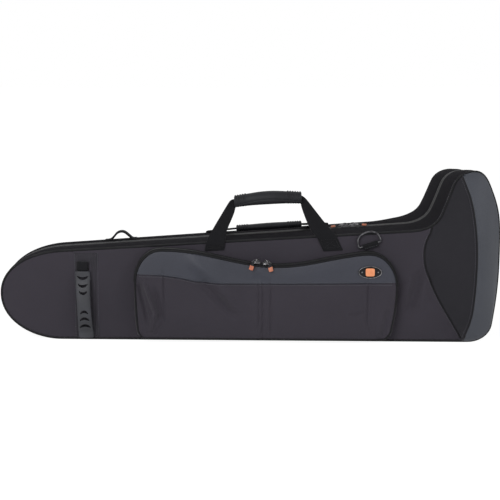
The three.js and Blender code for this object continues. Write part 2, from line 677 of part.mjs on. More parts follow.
function sliderPieces(swing, bend) {
  const [l, w] = [slider.length / 2, slider.width / 2];
  const [straight, broad] = [l - slider.nose, w - slider.nose];
  const outlinePoints = [[-l, broad], [-l, -broad], [-straight, -w], [straight, -w],
    [l, -broad], [l, broad], [straight, w], [-straight, w]];
  const body = flatPiece(outlinePoints, slider.thickness - clearance);
  body.rotateX(Math.PI / 2);
  body.translate(0, 0, (slider.thickness + clearance) / 2);
  const reach = slider.bailSpan / 2;
  const sunkEnd = slider.thickness - slider.bailWire;
  const top = slider.thickness + slider.bailHeight;
  const bail = wireGeometry([vec(-reach, 0, sunkEnd), vec(-reach, 0, top - slider.bailWire * 2),
    vec(-reach * bailShoulderShare, 0, top), vec(reach * bailShoulderShare, 0, top),
    vec(reach, 0, top - slider.bailWire * 2), vec(reach, 0, sunkEnd)], slider.bailWire, vec(0, 1, 0), false);
  bail.rotateZ(swing);

  const [half, corner, far] = [slider.linkWidth / 2, slider.linkCorner, slider.linkLength];
  const link = wireGeometry([vec(0, -half + corner, 0), vec(0, half - corner, 0), vec(corner, half, 0),
    vec(far - corner, half, 0), vec(far, half - corner, 0), vec(far, corner - half, 0),
    vec(far - corner, -half, 0), vec(corner, -half, 0)], slider.linkWire, vec(0, 0, 1), true);

  const start = far - slider.eyeInset;
  const [neck, wide] = [slider.tipNeck / 2, slider.tipWidth / 2];
  const side = (sign) => tipOutlineShares.map(([x, y]) =>
    [start + x * slider.tipLength, sign * lerp(neck - (wide - neck), wide, y)]);
  const tipPlate = flatPiece([...side(-1), ...side(1).reverse()], slider.tipThickness);
  tipPlate.rotateX(Math.PI / 2);
  const eye = new THREE.CylinderGeometry(slider.eye, slider.eye, slider.tipWidth, eyeSides);
  eye.translate(far, 0, 0);
  // The tip is turned down from its link about the link's end bar.
  const tip = cut(tipPlate, eye);
  tip.translate(-far, 0, 0);
  tip.rotateY(bend);
  tip.translate(far, 0, 0);
  return [join(body, bail), link, tip];
}
const bailShoulderShare = 0.6;
const eyeSides = 10;

// Where each slider sits, the frame it runs in, and how its pull lies.
function placeSlider(name, frame, swing, tilt, bend) {
  bellCase.add(frame);
  const [body, link, tip] = sliderPieces(swing, bend);
  place(name, body, 'metal', 'metal', frame);
  const pull = new THREE.Group();
  pull.position.set(0, 0, barHeight);
  pull.rotation.set(0, tilt, swing, 'ZYX');
  frame.add(pull);
  place(`${name}_link`, link, 'metal', 'metal', pull);
  place(`${name}_tip`, tip, 'copper', 'smooth', pull);
}
const mainSliders = { left: 192.5, leftSwing: 184, rightSwing: -18, tilt: 6 };
for (const [end, x, swing] of [['left', mainSliders.left, mainSliders.leftSwing],
  ['right', mainSliders.left + slider.length + 2 * clearance, mainSliders.rightSwing]]) {
  const frame = new THREE.Group();
  frame.position.set(x, 0, neckTop(x));
  frame.rotation.y = -neckRise;
  placeSlider(`main_slider_${end}`, frame, radians(swing), radians(mainSliders.tilt), 0);
}

// The bellows pocket on the lid, seen from the front, and how deep it stands out.
const pocket = {
  left: -214, leftHeight: 115, right: 278, rightHeight: 108, bottom: 6, depth: 20, wall: 2.5, front: 3.2,
  topLeft: -163, topLeftHeight: 177, dipStart: 3, dipStartHeight: 151, dipEnd: 52, dipHeight: 147,
  riseEnd: 186, riseEndHeight: 167, topRight: 226, topRightHeight: 171.5,
  footLeft: -210, footRight: 268, footHeight: 26, soleLeft: -194, soleRight: 248,
  dipSlope: -10, riseSlope: 9, swell: 8, cord: 1.6, tape: 1.2, tapeBack: 6,
  seamLeft: 127, seamMiddle: 113, seamRight: 116, seamDip: 25,
};
const pocketRim = makeRim([
  { x: pocket.left, z: pocket.leftHeight, slope: 90 },
  { x: pocket.topLeft, z: pocket.topLeftHeight, slope: 0, steps: 5 },
  { x: pocket.dipStart, z: pocket.dipStartHeight, slope: pocket.dipSlope, steps: 4 },
  { x: pocket.dipEnd, z: pocket.dipHeight, slope: 0, steps: 2 },
  { x: pocket.riseEnd, z: pocket.riseEndHeight, slope: pocket.riseSlope, steps: 3 },
  { x: pocket.topRight, z: pocket.topRightHeight, slope: 0, steps: 2 },
  { x: pocket.right, z: pocket.rightHeight, slope: -90, steps: 5 },
], [
  { x: pocket.left, z: pocket.leftHeight, slope: -90 },
  { x: pocket.footLeft, z: pocket.footHeight, slope: -85, steps: 2 },
  { x: pocket.soleLeft, z: pocket.bottom, slope: 0, steps: 3 },
  { x: pocket.soleRight, z: pocket.bottom, slope: 0, steps: 11 },
  { x: pocket.footRight, z: pocket.footHeight, slope: 80, steps: 3 },
  { x: pocket.right, z: pocket.rightHeight, slope: 90, steps: 2 },
]);

const pocketRows = 8;

function buildPocket() {
  const out = (distance) => (x) => -(frontDepth(x) + distance);
  const seam = [[pocket.left - cutOverrun, pocket.seamLeft], [pocket.seamDip, pocket.seamMiddle],
    [pocket.right + cutOverrun, pocket.seamRight]];
  const seamAt = (x) => (x < pocket.seamDip
    ? lerp(pocket.seamLeft, pocket.seamMiddle, (x - pocket.left) / (pocket.seamDip - pocket.left))
    : lerp(pocket.seamMiddle, pocket.seamRight, (x - pocket.seamDip) / (pocket.right - pocket.seamDip)));
  const swollen = (distance) => (x, z) => {
    const across = clamp((z - pocket.bottom) / (seamAt(x) - pocket.bottom), 0, 1);
    const along = clamp((x - pocket.left) / (pocket.right - pocket.left), 0, 1);
    const share = Math.sin(Math.PI * across) * Math.sin(Math.PI * along);
    return -(frontDepth(x) + distance + pocket.swell * share);
  };
  place('pocket_gusset', ringGeometry(pocketRim, [
    [0, out(clearance)], [0, out(pocket.depth)],
    [pocket.wall, out(pocket.depth)], [pocket.wall, out(clearance)],
  ]), 'nylon', 'fabric');

  const back = pocket.depth + clearance;
  const edge = 2 * pocket.cord + clearance;
  const plate = trayGeometry(pocketRim, [[edge, out(back + pocket.front)], [edge, out(back)]],
    swollen(back + pocket.front), swollen(back), pocketRows);
  const aboveSeam = (gap) => {
    const cutter = flatPiece([...seam.map(([x, z]) => [x, z + gap]),
      [pocket.right + cutOverrun, pocket.topLeftHeight + cutOverrun],
      [pocket.left - cutOverrun, pocket.topLeftHeight + cutOverrun]], outline.length);
    return solid(cutter);
  };
  place('pocket_band', fromSolid(solid(plate).intersect(aboveSeam(clearance))), 'band', 'smooth');
  place('pocket_front', fromSolid(solid(plate).subtract(aboveSeam(0))), 'nylon', 'fabric');
  place('pocket_piping', ringGeometry(pocketRim,
    cordSection(pocket.cord, pocket.cord, (over) => out(back + pocket.cord + over))), 'trim', 'smooth');

  const steps = pocketRim.end;
  const tape = Array.from({ length: steps + 1 }, (unused, i) => [
    [-clearance - pocket.tape, pocket.tapeBack], [-clearance - pocket.tape, pocket.depth],
    [-clearance, pocket.depth], [-clearance, pocket.tapeBack],
  ].map(([distance, y]) => ringPoint(pocketRim, i, distance, out(y))));
  place('pocket_zip_tape', loft(tape), 'trim', 'fabric');
}
buildPocket();

const domeShare = 0.6;

// Oval badge plate, left bare, with its inlay and two rivets.
const badge = {
  x: 226, z: 137, width: 44, height: 23, thickness: 2, sides: 24,
  inlayWidth: 17, inlayHeight: 15, inlay: 0.8, inlayCorner: 2, rivet: 1.5, rivetSpread: 15, rivetHead: 0.9,
};
const pocketFace = pocket.depth + clearance + pocket.front;
const badgeGroup = new THREE.Group();
badgeGroup.position.copy(onFront(badge.x, badge.z, pocketFace + clearance));
badgeGroup.rotation.z = -frontSlant;
bellCase.add(badgeGroup);
const oval = Array.from({ length: badge.sides }, (unused, k) => {
  const angle = 2 * Math.PI * k / badge.sides;
  return [badge.width / 2 * Math.cos(angle), badge.height / 2 * Math.sin(angle)];
});
const badgePlate = flatPiece(oval, badge.thickness);
badgePlate.translate(0, -badge.thickness / 2, 0);
place('badge', badgePlate, 'trim', 'metal', badgeGroup);
const [inlayX, inlayZ, snip] = [badge.inlayWidth / 2, badge.inlayHeight / 2, badge.inlayCorner];
const inlayPlate = flatPiece([[-inlayX + snip, -inlayZ], [inlayX - snip, -inlayZ], [inlayX, -inlayZ + snip],
  [inlayX, inlayZ - snip], [inlayX - snip, inlayZ], [-inlayX + snip, inlayZ], [-inlayX, inlayZ - snip],
  [-inlayX, -inlayZ + snip]], badge.inlay);
inlayPlate.translate(0, -(badge.thickness + clearance + badge.inlay / 2), 0);
place('badge_inlay', inlayPlate, 'copper', 'metal', badgeGroup);
for (const [end, sign] of [['left', -1], ['right', 1]]) {
  const dome = [[0, 0], [badge.rivet, 0], [badge.rivet * domeShare, badge.rivetHead], [0, badge.rivetHead]];
  const rivet = new THREE.LatheGeometry(dome.map(([r, h]) => new THREE.Vector2(r, h)), cordSides);
  rivet.rotateX(Math.PI);
  rivet.translate(sign * badge.rivetSpread, -(badge.thickness + clearance), 0);
  place(`badge_rivet_${end}`, tidyGeometry(rivet), 'metal', 'metal', badgeGroup);
}

// The pocket's sliders lie on top of its zip, along the way that each one runs, and lean forwards.
// Their links slant down over the piping, with the tips hanging in front.
const pocketSliders = {
  left: 15.5, spacing: 18, leftSlope: -11.2, rightSlope: 4.6, lift: 1.4, out: 16.5,
  lean: 15, splay: 30, tilt: 6,
};
for (const [end, x, slope, splay] of [['left', pocketSliders.left, pocketSliders.leftSlope, -1],
  ['right', pocketSliders.left + pocketSliders.spacing, pocketSliders.rightSlope, 1]]) {
  const frame = new THREE.Group();
  const seatHeight = heightAt(pocketRim.top, x) + clearance + pocket.tape + pocketSliders.lift;
  frame.position.copy(onFront(x, seatHeight, pocketSliders.out));
  const level = Math.cos(radians(slope));
  const along = vec(level, -Math.tan(frontSlant) * level, Math.sin(radians(slope))).normalize();
  const up = vec(0, 0, 1).addScaledVector(along, -along.z).normalize();
  frame.quaternion.setFromRotationMatrix(
    new THREE.Matrix4().makeBasis(along, new THREE.Vector3().crossVectors(up, along), up));
  frame.rotateX(radians(pocketSliders.lean));
  placeSlider(`pocket_slider_${end}`, frame, radians(splay * pocketSliders.splay) - Math.PI / 2,
    radians(pocketSliders.tilt), Math.PI / 2 - radians(pocketSliders.lean + pocketSliders.tilt));
}

// Fittings inside the rear shell. They stand on its lining.
const panelBack = piping.rebate - clearance;
const liningBack = panelBack + shell.liningGap + shell.lining + clearance;
const liningInset = shell.wall + shell.liningGap + shell.lining + clearance;
const rearLining = (x) => rearDepth(x) - liningBack;
const floorInside = floorGap + liningInset;

const seat = (low, high) => Math.min(rearLining(low), rearLining(high));

// The cradle fills the bell end behind the zip, with a well turned to the bell's flare.
const bell = {
  rim: 106, throat: 34, height: 158, rimBack: 26, length: 108, axisY: -14, cradleLength: 102, front: 2,
  wellShare: 0.36,
};
const flareSteps = 8;
const flareSides = 32;
const notchSides = 16;
const cradleRows = 4;
const flare = Array.from({ length: flareSteps + 1 }, (unused, k) => {
  const share = k / flareSteps;
  const opened = lerp(share ** 3, share, bell.wellShare);
  return new THREE.Vector2(lerp(bell.throat, bell.rim, opened), bell.length * share);
});
const wellEnd = [bell.rim, 0].map((radius) => new THREE.Vector2(radius, bell.length + cutOverrun));
const well = new THREE.LatheGeometry([new THREE.Vector2(0, 0), ...flare, ...wellEnd], flareSides);
well.rotateZ(-Math.PI / 2);
const bellRim = fromBellEnd(bell.rimBack);
well.translate(bellRim - bell.length, bell.axisY, bell.height);
const filling = trayGeometry(caseRim, [[liningInset, () => bell.front], [liningInset, rearLining]],
  () => bell.front, rearLining, cradleRows);
const cradleBlock = box(vec(bellRim - bell.cradleLength, 0, 0),
  vec(bellRim, shell.rearDepthBell, outline.crownHeight));
const cradle = solid(filling).intersect(solid(cradleBlock)).subtract(solid(well));
place('bell_cradle', fromSolid(cradle), 'foam', 'fabric');

// Foam rests with notches for tubes that lie along the case.
function restGeometry(low, high, bottom, top, front, notches) {
  const block = box(vec(low, front, bottom), vec(high, seat(low, high), top));
  const cuts = notches.flatMap(([z, y, radius]) => {
    const round = new THREE.CylinderGeometry(radius, radius, high - low + 2 * cutOverrun, notchSides);
    round.rotateZ(Math.PI / 2);
    round.translate((low + high) / 2, y, z);
    return [round, box(vec(low - cutOverrun, front - cutOverrun, z - radius),
      vec(high + cutOverrun, y, z + radius))];
  });
  return cut(block, ...cuts);
}
const slideRest = {
  width: 30, left: fromLeftEnd(setIn.leftRest), right: fromBellEnd(setIn.rightRest), top: 106, front: -9,
  tube: 9, lower: 34, upper: 88, tubeY: 4,
};
for (const [end, x] of [['left', slideRest.left], ['right', slideRest.right]]) {
  const tubes = [slideRest.lower, slideRest.upper].map((z) => [z, slideRest.tubeY, slideRest.tube]);
  const rest = restGeometry(x, x + slideRest.width, floorInside, slideRest.top, slideRest.front, tubes);
  place(`slide_rest_${end}`, rest, 'foam', 'fabric');
}
const neckRest = { left: 90, width: 32, bottom: 112, top: 184, front: -9, tube: 16, height: 150, tubeY: 12 };
place('neck_rest', restGeometry(neckRest.left, neckRest.left + neckRest.width, neckRest.bottom, neckRest.top,
  neckRest.front, [[neckRest.height, neckRest.tubeY, neckRest.tube]]), 'foam', 'fabric');

// Strap over the slide, with its tails sewn to the lining.
const slideStrap = { x: -70, width: 30, thickness: 2, low: 20, high: 102, tail: 12, front: -12, round: 6 };
function strapOverSlide() {
  const { low, high, tail, front, round, x, width, thickness } = slideStrap;
  const back = seat(x - width / 2, x + width / 2) - thickness / 2;
  const lower = [[back, low], [back, low + tail], [back - round, low + tail + round],
    [front + round, low + tail + round], [front, low + tail + 2 * round]];
  const upper = lower.map(([y, z]) => [y, low + high - z]).reverse();
  const path = [...lower, ...upper].map(([y, z]) => vec(x, y, z));
  return strapGeometry(path, vec(1, 0, 0), width, thickness);
}
place('slide_strap', strapOverSlide(), 'trim', 'fabric');

// Box for mouthpieces and oil, open to the front, and its lid, hinged along the top edge.
const store = {
  left: fromLeftEnd(setIn.store), length: 150, bottom: 112, height: 40, front: -14, wall: 2.5, lid: 2.4,
  pull: 14,
};
const storeRight = store.left + store.length;
const storeBack = seat(store.left, storeRight);
const storeTop = store.bottom + store.height;
place('accessory_box', cut(
  box(vec(store.left, store.front, store.bottom), vec(storeRight, storeBack, storeTop)),
  box(vec(store.left + store.wall, store.front - cutOverrun, store.bottom + store.wall),
    vec(storeRight - store.wall, storeBack - store.wall, storeTop - store.wall))), 'plastic', 'smooth');
const lidFront = store.front - clearance - store.lid;
const storeMiddle = (store.left + storeRight) / 2;
const pullBottom = store.bottom + store.wall;
place('accessory_lid', join(
  box(vec(store.left, lidFront, store.bottom), vec(storeRight, store.front - clearance, storeTop)),
  box(vec(storeMiddle - store.pull / 2, lidFront - store.lid, pullBottom),
    vec(storeMiddle + store.pull / 2, lidFront + store.lid / 2, pullBottom + store.lid)),
), 'plastic', 'smooth');

// Pad glued to the lid's lining.
const pad = { left: -165, right: 236, low: 26, high: 140, thickness: 8 };
const padAt = (x, z, thickness) => onFront(x, z, thickness - (liningBack + clearance));
place('lid_pad', loft([0, -pad.thickness].map((thickness) => [
  padAt(pad.left, pad.low, thickness), padAt(pad.right, pad.low, thickness),
  padAt(pad.right, pad.high, thickness), padAt(pad.left, pad.high, thickness)])), 'foam', 'fabric');

export default bellCase;
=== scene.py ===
import json
import math
import bpy
import bmesh
import numpy as np
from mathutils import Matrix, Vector


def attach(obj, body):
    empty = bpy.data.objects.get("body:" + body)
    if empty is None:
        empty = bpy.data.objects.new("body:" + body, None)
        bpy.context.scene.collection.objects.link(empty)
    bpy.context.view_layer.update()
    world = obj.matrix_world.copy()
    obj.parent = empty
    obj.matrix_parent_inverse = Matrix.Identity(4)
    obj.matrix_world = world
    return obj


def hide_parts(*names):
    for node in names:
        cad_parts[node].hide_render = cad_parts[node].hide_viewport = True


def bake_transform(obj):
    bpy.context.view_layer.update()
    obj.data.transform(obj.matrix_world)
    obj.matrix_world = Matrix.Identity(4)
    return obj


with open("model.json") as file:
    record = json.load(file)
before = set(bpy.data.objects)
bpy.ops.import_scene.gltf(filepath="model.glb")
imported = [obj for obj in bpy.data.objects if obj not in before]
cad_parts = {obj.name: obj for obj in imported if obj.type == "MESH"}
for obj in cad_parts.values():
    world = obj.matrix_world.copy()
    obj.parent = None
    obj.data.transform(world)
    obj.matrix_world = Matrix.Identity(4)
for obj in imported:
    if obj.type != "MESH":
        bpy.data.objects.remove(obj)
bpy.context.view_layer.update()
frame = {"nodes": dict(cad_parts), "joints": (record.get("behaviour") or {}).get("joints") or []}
nodes = frame["nodes"]
print("frame loaded:", len(nodes), "nodes")

# All shapes are worked out in millimetres and put into the meshes in metres.

# camera at the photo's viewing angle
camera = {"target": (3.96, -80.0, 172.52), "azimuth": -2.0, "elevation": 8.5, "distance": 2300.0,
          "lens": 87.55, "sensor": 36.0, "farthest": 100.0}

# light: a white room that is darker overhead, and soft lamps as place, aim and size in metres, and power
light = {
    "room": (0.2, 0.62), "roomHeights": (-0.9, 0.0), "floor": (0.93, 0.93, 0.93), "floorHalf": 30,
    "glow": 1.25, "glowShare": 0.75,
    "lamps": {
        "keyLamp": {"place": (-1.3, -2.4, 1.5), "aim": (0, 0, 0.12), "size": (1.6, 1.2), "power": 40.0},
        "fillLamp": {"place": (2.2, -1.6, 1.1), "aim": (0.1, 0, 0.12), "size": (1.4, 1.4), "power": 14.0},
        "backLamp": {"place": (0.3, 1.6, 2.4), "aim": (0, 0, 0.15), "size": (2.0, 1.0), "power": 2.0},
    },
}
white = (1, 1, 1, 1)


def linked(name, data):
    # a new object in the scene
    made = bpy.data.objects.new(name, data)
    bpy.context.scene.collection.objects.link(made)
    return made


def pointed(name, data, place, aim):
    # a camera or lamp that looks from its place to its aim
    made = linked(name, data)
    made.location = place
    made.rotation_mode = "QUATERNION"
    made.rotation_quaternion = (Vector(aim) - Vector(place)).to_track_quat("-Z", "Y")


turn, lift = math.radians(camera["azimuth"]), math.radians(camera["elevation"])
back = Vector((math.sin(turn) * math.cos(lift), -math.cos(turn) * math.cos(lift), math.sin(lift)))
target = Vector(camera["target"])
cameraData = bpy.data.cameras.new("photoCamera")
cameraData.lens = camera["lens"]
cameraData.sensor_width = camera["sensor"]
cameraData.clip_end = camera["farthest"]
pointed("photoCamera", cameraData, (target + back * camera["distance"]) / 1000, target / 1000)
bpy.context.scene.camera = bpy.data.objects["photoCamera"]
bpy.context.scene.view_settings.view_transform = "Standard"


def feed(tree, shader, inputs):
    # links a node's inputs to sockets or sets them to values
    for key, value in inputs.items():
        if isinstance(value, bpy.types.NodeSocket):
            tree.links.new(value, shader.inputs[key])
        else:
            shader.inputs[key].default_value = value


def shading(tree, kind, inputs=None, **settings):
    # a new shader node with its settings and inputs. It gives back the node's outputs
    made = tree.nodes.new("ShaderNode" + kind)
    for key, value in settings.items():
        setattr(made, key, value)
    feed(tree, made, inputs or {})
    return made.outputs


def emptied(holder):
    # the node tree of a world or material, with nothing in it
    holder.use_nodes = True
    holder.node_tree.nodes.clear()
    return holder.node_tree


def seenWhite(tree):
    # one where a camera, glossy or transmitted ray looks, else zero
    path = shading(tree, "LightPath")
    seen = path["Is Camera Ray"]
    for ray in ("Is Glossy Ray", "Is Transmission Ray"):
        seen = shading(tree, "Math", {0: seen, 1: path[ray]}, operation="MAXIMUM")[0]
    return seen


def buildRoom():
    # the room's strength rises from overhead to the horizon and stays below it
    world = bpy.data.worlds.new("room")
    bpy.context.scene.world = world
    tree = emptied(world)
    height = shading(tree, "SeparateXYZ", {0: shading(tree, "NewGeometry")["Incoming"]})["Z"]
    (low, high), (dim, bright) = light["roomHeights"], light["room"]
    strength = shading(tree, "MapRange", {"Value": height, "From Min": low, "From Max": high, "To Min": dim,
                                          "To Max": bright})["Result"]
    plain = shading(tree, "Background", {"Color": white, "Strength": strength})[0]
    seen = shading(tree, "Background", {"Color": white})[0]
    mixed = shading(tree, "MixShader", {0: seenWhite(tree), 1: plain, 2: seen})[0]
    shading(tree, "OutputWorld", {0: mixed})


def buildFloor():
    # a square that is matt to the object's light and mostly glows to the camera
    half = light["floorHalf"]
    mesh = bpy.data.meshes.new("floor")
    corners = [(-half, -half, 0), (half, -half, 0), (half, half, 0), (-half, half, 0)]
    mesh.from_pydata(corners, [], [(0, 1, 2, 3)])
    paint = bpy.data.materials.new("floorPaint")
    tree = emptied(paint)
    matt = shading(tree, "BsdfDiffuse", {"Color": (*light["floor"], 1)})[0]
    glow = shading(tree, "Emission", {"Strength": light["glow"]})[0]
    share = shading(tree, "Math", {0: seenWhite(tree), 1: light["glowShare"]}, operation="MULTIPLY")[0]
    mixed = shading(tree, "MixShader", {0: share, 1: matt, 2: glow})[0]
    shading(tree, "OutputMaterial", {0: mixed})
    mesh.materials.append(paint)
    linked("floor", mesh)


for name, lamp in light["lamps"].items():
    data = bpy.data.lights.new(name, "AREA")
    data.shape = "RECTANGLE"
    data.size, data.size_y = lamp["size"]
    data.energy = lamp["power"]
    pointed(name, data, lamp["place"], lamp["aim"])
buildRoom()
buildFloor()
print("camera, lamps and floor made")


# materials
def linear(colour, share=1.0):
    # display values 0 to 255 as linear light, darkened to a share before that
    values = share * np.array(colour, float) / 255
    return (*np.where(values <= 0.04045, values / 12.92, ((values + 0.055) / 1.055) ** 2.4), 1.0)


def newMaterial(name):
    # a material, its node tree and the place on the piece as its textures' input
    material = bpy.data.materials.new(name)
    material.use_nodes = True
    return material, material.node_tree, shading(material.node_tree, "TexCoord")["Object"]


def finished(material, inputs):
    # the material with the inputs put on its own shader
    feed(material.node_tree, material.node_tree.nodes["Principled BSDF"], inputs)
    return material


def mixColour(tree, factor, first, second):
    # the first colour where the factor is nought, the second where it is one
    return shading(tree, "Mix", {"Factor": factor, "A": first, "B": second}, data_type="RGBA")["Result"]


def noise(tree, scale, detail, place):
    # soft noise that repeats nowhere, as a number about a half
    return shading(tree, "TexNoise", {"Scale": scale, "Detail": detail, "Vector": place})["Fac"]


def ramp(tree, factor, low, high):
    # nought at the low value and one at the high one, straight between them
    return shading(tree, "MapRange", {"Value": factor, "From Min": low, "From Max": high})["Result"]


def bump(tree, height, strength, distance, **below):
    # a relief from a height, laid over the relief below it
    inputs = {"Height": height, "Strength": strength, "Distance": distance, **below}
    return shading(tree, "Bump", inputs)["Normal"]


def weave(tree, pitch, slant):
    # two crossed sets of threads on the piece's own UV map, which is in metres. A wave texture of scale 1
    # repeats after a tenth of pi
    uv = shading(tree, "UVMap")["UV"]
    turned = shading(tree, "Mapping", {"Vector": uv, "Rotation": (0, 0, math.radians(slant))})["Vector"]
    threads = [shading(tree, "TexWave", {"Scale": 0.31416 / (gap / 1000), "Vector": turned},
                       bands_direction=direction)["Fac"] for direction, gap in zip("XY", pitch)]
    return shading(tree, "Math", dict(enumerate(threads)), operation="MULTIPLY")[0]


def clothMaterial(name, dark, pale, pitch=(0.75, 0.75), roughness=0.8, sheen=0.1, slant=0.0, weaveBump=0.35,
                  crumple=0.12, mottle=5.0, shine=0.25):
    # woven cloth: thread relief, soft creases and slow changes of tone
    material, tree, place = newMaterial(name)
    cloth = weave(tree, pitch, slant)
    tone = ramp(tree, noise(tree, mottle, 5.0, place), 0.3, 0.72)
    ground = mixColour(tree, tone, linear(dark), linear(pale))
    relief = bump(tree, cloth, weaveBump, 0.0004)
    return finished(material, {
        "Base Color": mixColour(tree, ramp(tree, cloth, -0.9, 1.9), linear(dark, 0.7), ground),
        "Normal": bump(tree, noise(tree, 28.0, 4.0, place), crumple, 0.004, Normal=relief),
        "Roughness": roughness, "Specular IOR Level": shine, "Sheen Weight": sheen, "Sheen Roughness": 0.5,
    })


def leatherMaterial(name, dark, pale, roughness, grain=900.0):
    # coated cloth with a fine pebbled grain
    material, tree, place = newMaterial(name)
    pebbles = shading(tree, "TexVoronoi", {"Scale": grain, "Vector": place})["Distance"]
    tone = ramp(tree, noise(tree, 7.0, 4.0, place), 0.3, 0.7)
    ground = mixColour(tree, tone, linear(dark), linear(pale))
    relief = bump(tree, pebbles, 0.25, 0.0003)
    return finished(material, {
        "Base Color": mixColour(tree, ramp(tree, pebbles, 0.0, 1.1), ground, linear(dark, 0.82)),
        "Normal": bump(tree, noise(tree, 22.0, 4.0, place), 0.1, 0.004, Normal=relief),
        "Roughness": roughness, "Specular IOR Level": 0.4,
    })


def mouldedMaterial(name, dark, pale, roughness, grain=1400.0, coat=0.0, shine=0.5):
    # moulded rubber or plastic with a fine spark grain and rubbed high spots
    material, tree, place = newMaterial(name)
    tone = ramp(tree, noise(tree, 30.0, 6.0, place), 0.35, 0.75)
    return finished(material, {
        "Base Color": mixColour(tree, tone, linear(dark), linear(pale)),
        "Normal": bump(tree, noise(tree, grain, 2.0, place), 0.15, 0.0003),
        "Roughness": ramp(tree, noise(tree, 60.0, 3.0, place), -1.4 * (1 - roughness) - 0.2, 1.4),
        "Coat Weight": coat, "Specular IOR Level": shine,
    })


def metalMaterial(name, colour, shade, roughness):
    # plated metal with faint brushing and tarnish
    material, tree, place = newMaterial(name)
    tone = ramp(tree, noise(tree, 160.0, 6.0, place), 0.35, 0.7)
    return finished(material, {
        "Base Color": mixColour(tree, tone, linear(shade), linear(colour)),
        "Roughness": ramp(tree, noise(tree, 420.0, 3.0, place), -2.0 + roughness, 3.2 - roughness),
        "Normal": bump(tree, noise(tree, 2200.0, 2.0, place), 0.06, 0.0002), "Metallic": 1.0,
    })


plush = {"roughness": 0.95, "sheen": 0.5, "slant": 30.0, "weaveBump": 0.5, "crumple": 0.4, "mottle": 14.0}
fine = {"pitch": (0.3, 0.3), "roughness": 0.6}
paints = {
    "nylon": clothMaterial("nylonCloth", (58, 54, 63), (68, 63, 73), roughness=0.78, sheen=0.12),
    "bellCloth": clothMaterial("bellCloth", (38, 37, 43), (47, 45, 52)),
    "leatherette": leatherMaterial("leatherette", (49, 51, 61), (59, 61, 73), 0.55),
    "stripCloth": leatherMaterial("stripCloth", (62, 65, 73), (74, 77, 86), 0.58),
    "gusset": clothMaterial("gussetCloth", (44, 41, 48), (54, 50, 58)),
    "bandCloth": clothMaterial("bandCloth", (50, 48, 55), (60, 57, 65), roughness=0.75),
    # painted shade: the cover's cloth is partly its own darker tone and partly shade painted on the case's
    # top, with next to no shine or sheen
    "coverClothPaintedShade": clothMaterial("coverClothPaintedShade", (35, 34, 38), (43, 41, 46), roughness=0.95, sheen=0.0,
                                shine=0.04),
    "piping": mouldedMaterial("pipingCord", (13, 13, 15), (22, 22, 25), 0.35, 900.0, shine=0.2),
    "webbing": clothMaterial("webbing", (28, 28, 31), (39, 39, 43), (1.6, 1.1), 0.75, 0.05, weaveBump=0.8,
                             crumple=0.05, shine=0.1),
    "zipTape": clothMaterial("zipTape", (22, 22, 25), (30, 30, 33), (0.6, 0.6), 0.75, 0.05),
    "coil": mouldedMaterial("zipCoil", (18, 18, 20), (30, 30, 33), 0.45),
    "thread": clothMaterial("thread", (84, 84, 92), (108, 108, 118), sheen=0.2, **fine),
    "darkThread": clothMaterial("darkThread", (20, 20, 23), (32, 32, 36), **fine),
    "lining": clothMaterial("liningPlush", (30, 30, 34), (44, 44, 49), (0.9, 0.9), **plush),
    "foam": clothMaterial("foamCover", (38, 38, 43), (52, 52, 58), (1.0, 1.0), **plush),
    "rubber": mouldedMaterial("mouldedRubber", (20, 21, 24), (32, 33, 37), 0.5, shine=0.25),
    "endRubber": mouldedMaterial("endRubber", (36, 37, 42), (54, 55, 61), 0.5),
    "plastic": mouldedMaterial("mouldedPlastic", (24, 24, 27), (34, 34, 38), 0.42),
    "nickel": metalMaterial("nickel", (150, 149, 150), (84, 83, 86), 0.3),
    "gunmetal": metalMaterial("gunmetal", (104, 103, 106), (52, 52, 55), 0.25),
    "blackPlate": mouldedMaterial("blackPlate", (5, 5, 7), (13, 13, 16), 0.4, 600.0, 0.1, 0.2),
    "copperRubber": mouldedMaterial("copperRubber", (190, 112, 84), (222, 156, 128), 0.45),
    "copperPlate": metalMaterial("copperPlate", (226, 154, 114), (214, 138, 98), 0.32),
}
print("materials made:", len(paints))


# turning arrays of points into pieces
meshing = {"same": 2e-6, "sameSolid": 1e-5, "flatWithin": 1, "softAngle": 35, "cutAngle": 40}


def runningLength(points, axis):
    # running length in metres along one direction of the grid, averaged over the other
    steps = np.linalg.norm(np.diff(points, axis=axis), axis=2).mean(axis=1 - axis)
    return np.concatenate([[0.0], np.cumsum(steps)]) / 1000


def mended(mesh, gap=0.0, flats=False, outward=False):
    # joins points closer than the gap, merges flat neighbours and turns all faces outward
    work = bmesh.new()
    work.from_mesh(mesh)
    if gap:
        bmesh.ops.remove_doubles(work, verts=work.verts, dist=gap)
    if flats:
        bmesh.ops.dissolve_limit(work, angle_limit=math.radians(meshing["flatWithin"]), verts=work.verts,
                                 edges=work.edges)
    if outward:
        bmesh.ops.recalc_face_normals(work, faces=work.faces)
    work.to_mesh(mesh)
    work.free()


def verticesOf(mesh):
    # the places of a mesh's points, in metres
    places = np.zeros(len(mesh.vertices) * 3, np.float32)
    mesh.vertices.foreach_get("co", places)
    return places.reshape(-1, 3)


def smoothed(mesh):
    # shades all faces smoothly
    mesh.polygons.foreach_set("use_smooth", np.full(len(mesh.polygons), True))


def rounded(piece, radius, angle):
    # rounds the edges that are sharper than an angle, by a radius in millimetres
    edges = piece.modifiers.new("round", "BEVEL")
    edges.width = radius / 1000
    edges.segments = 3
    edges.limit_method = "ANGLE"
    edges.angle_limit = math.radians(angle)


def declare(piece, body, replaces=()):
    # the body that the piece rides on and the solids it stands for
    if body:
        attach(piece, body)
    if replaces:
        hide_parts(*replaces)


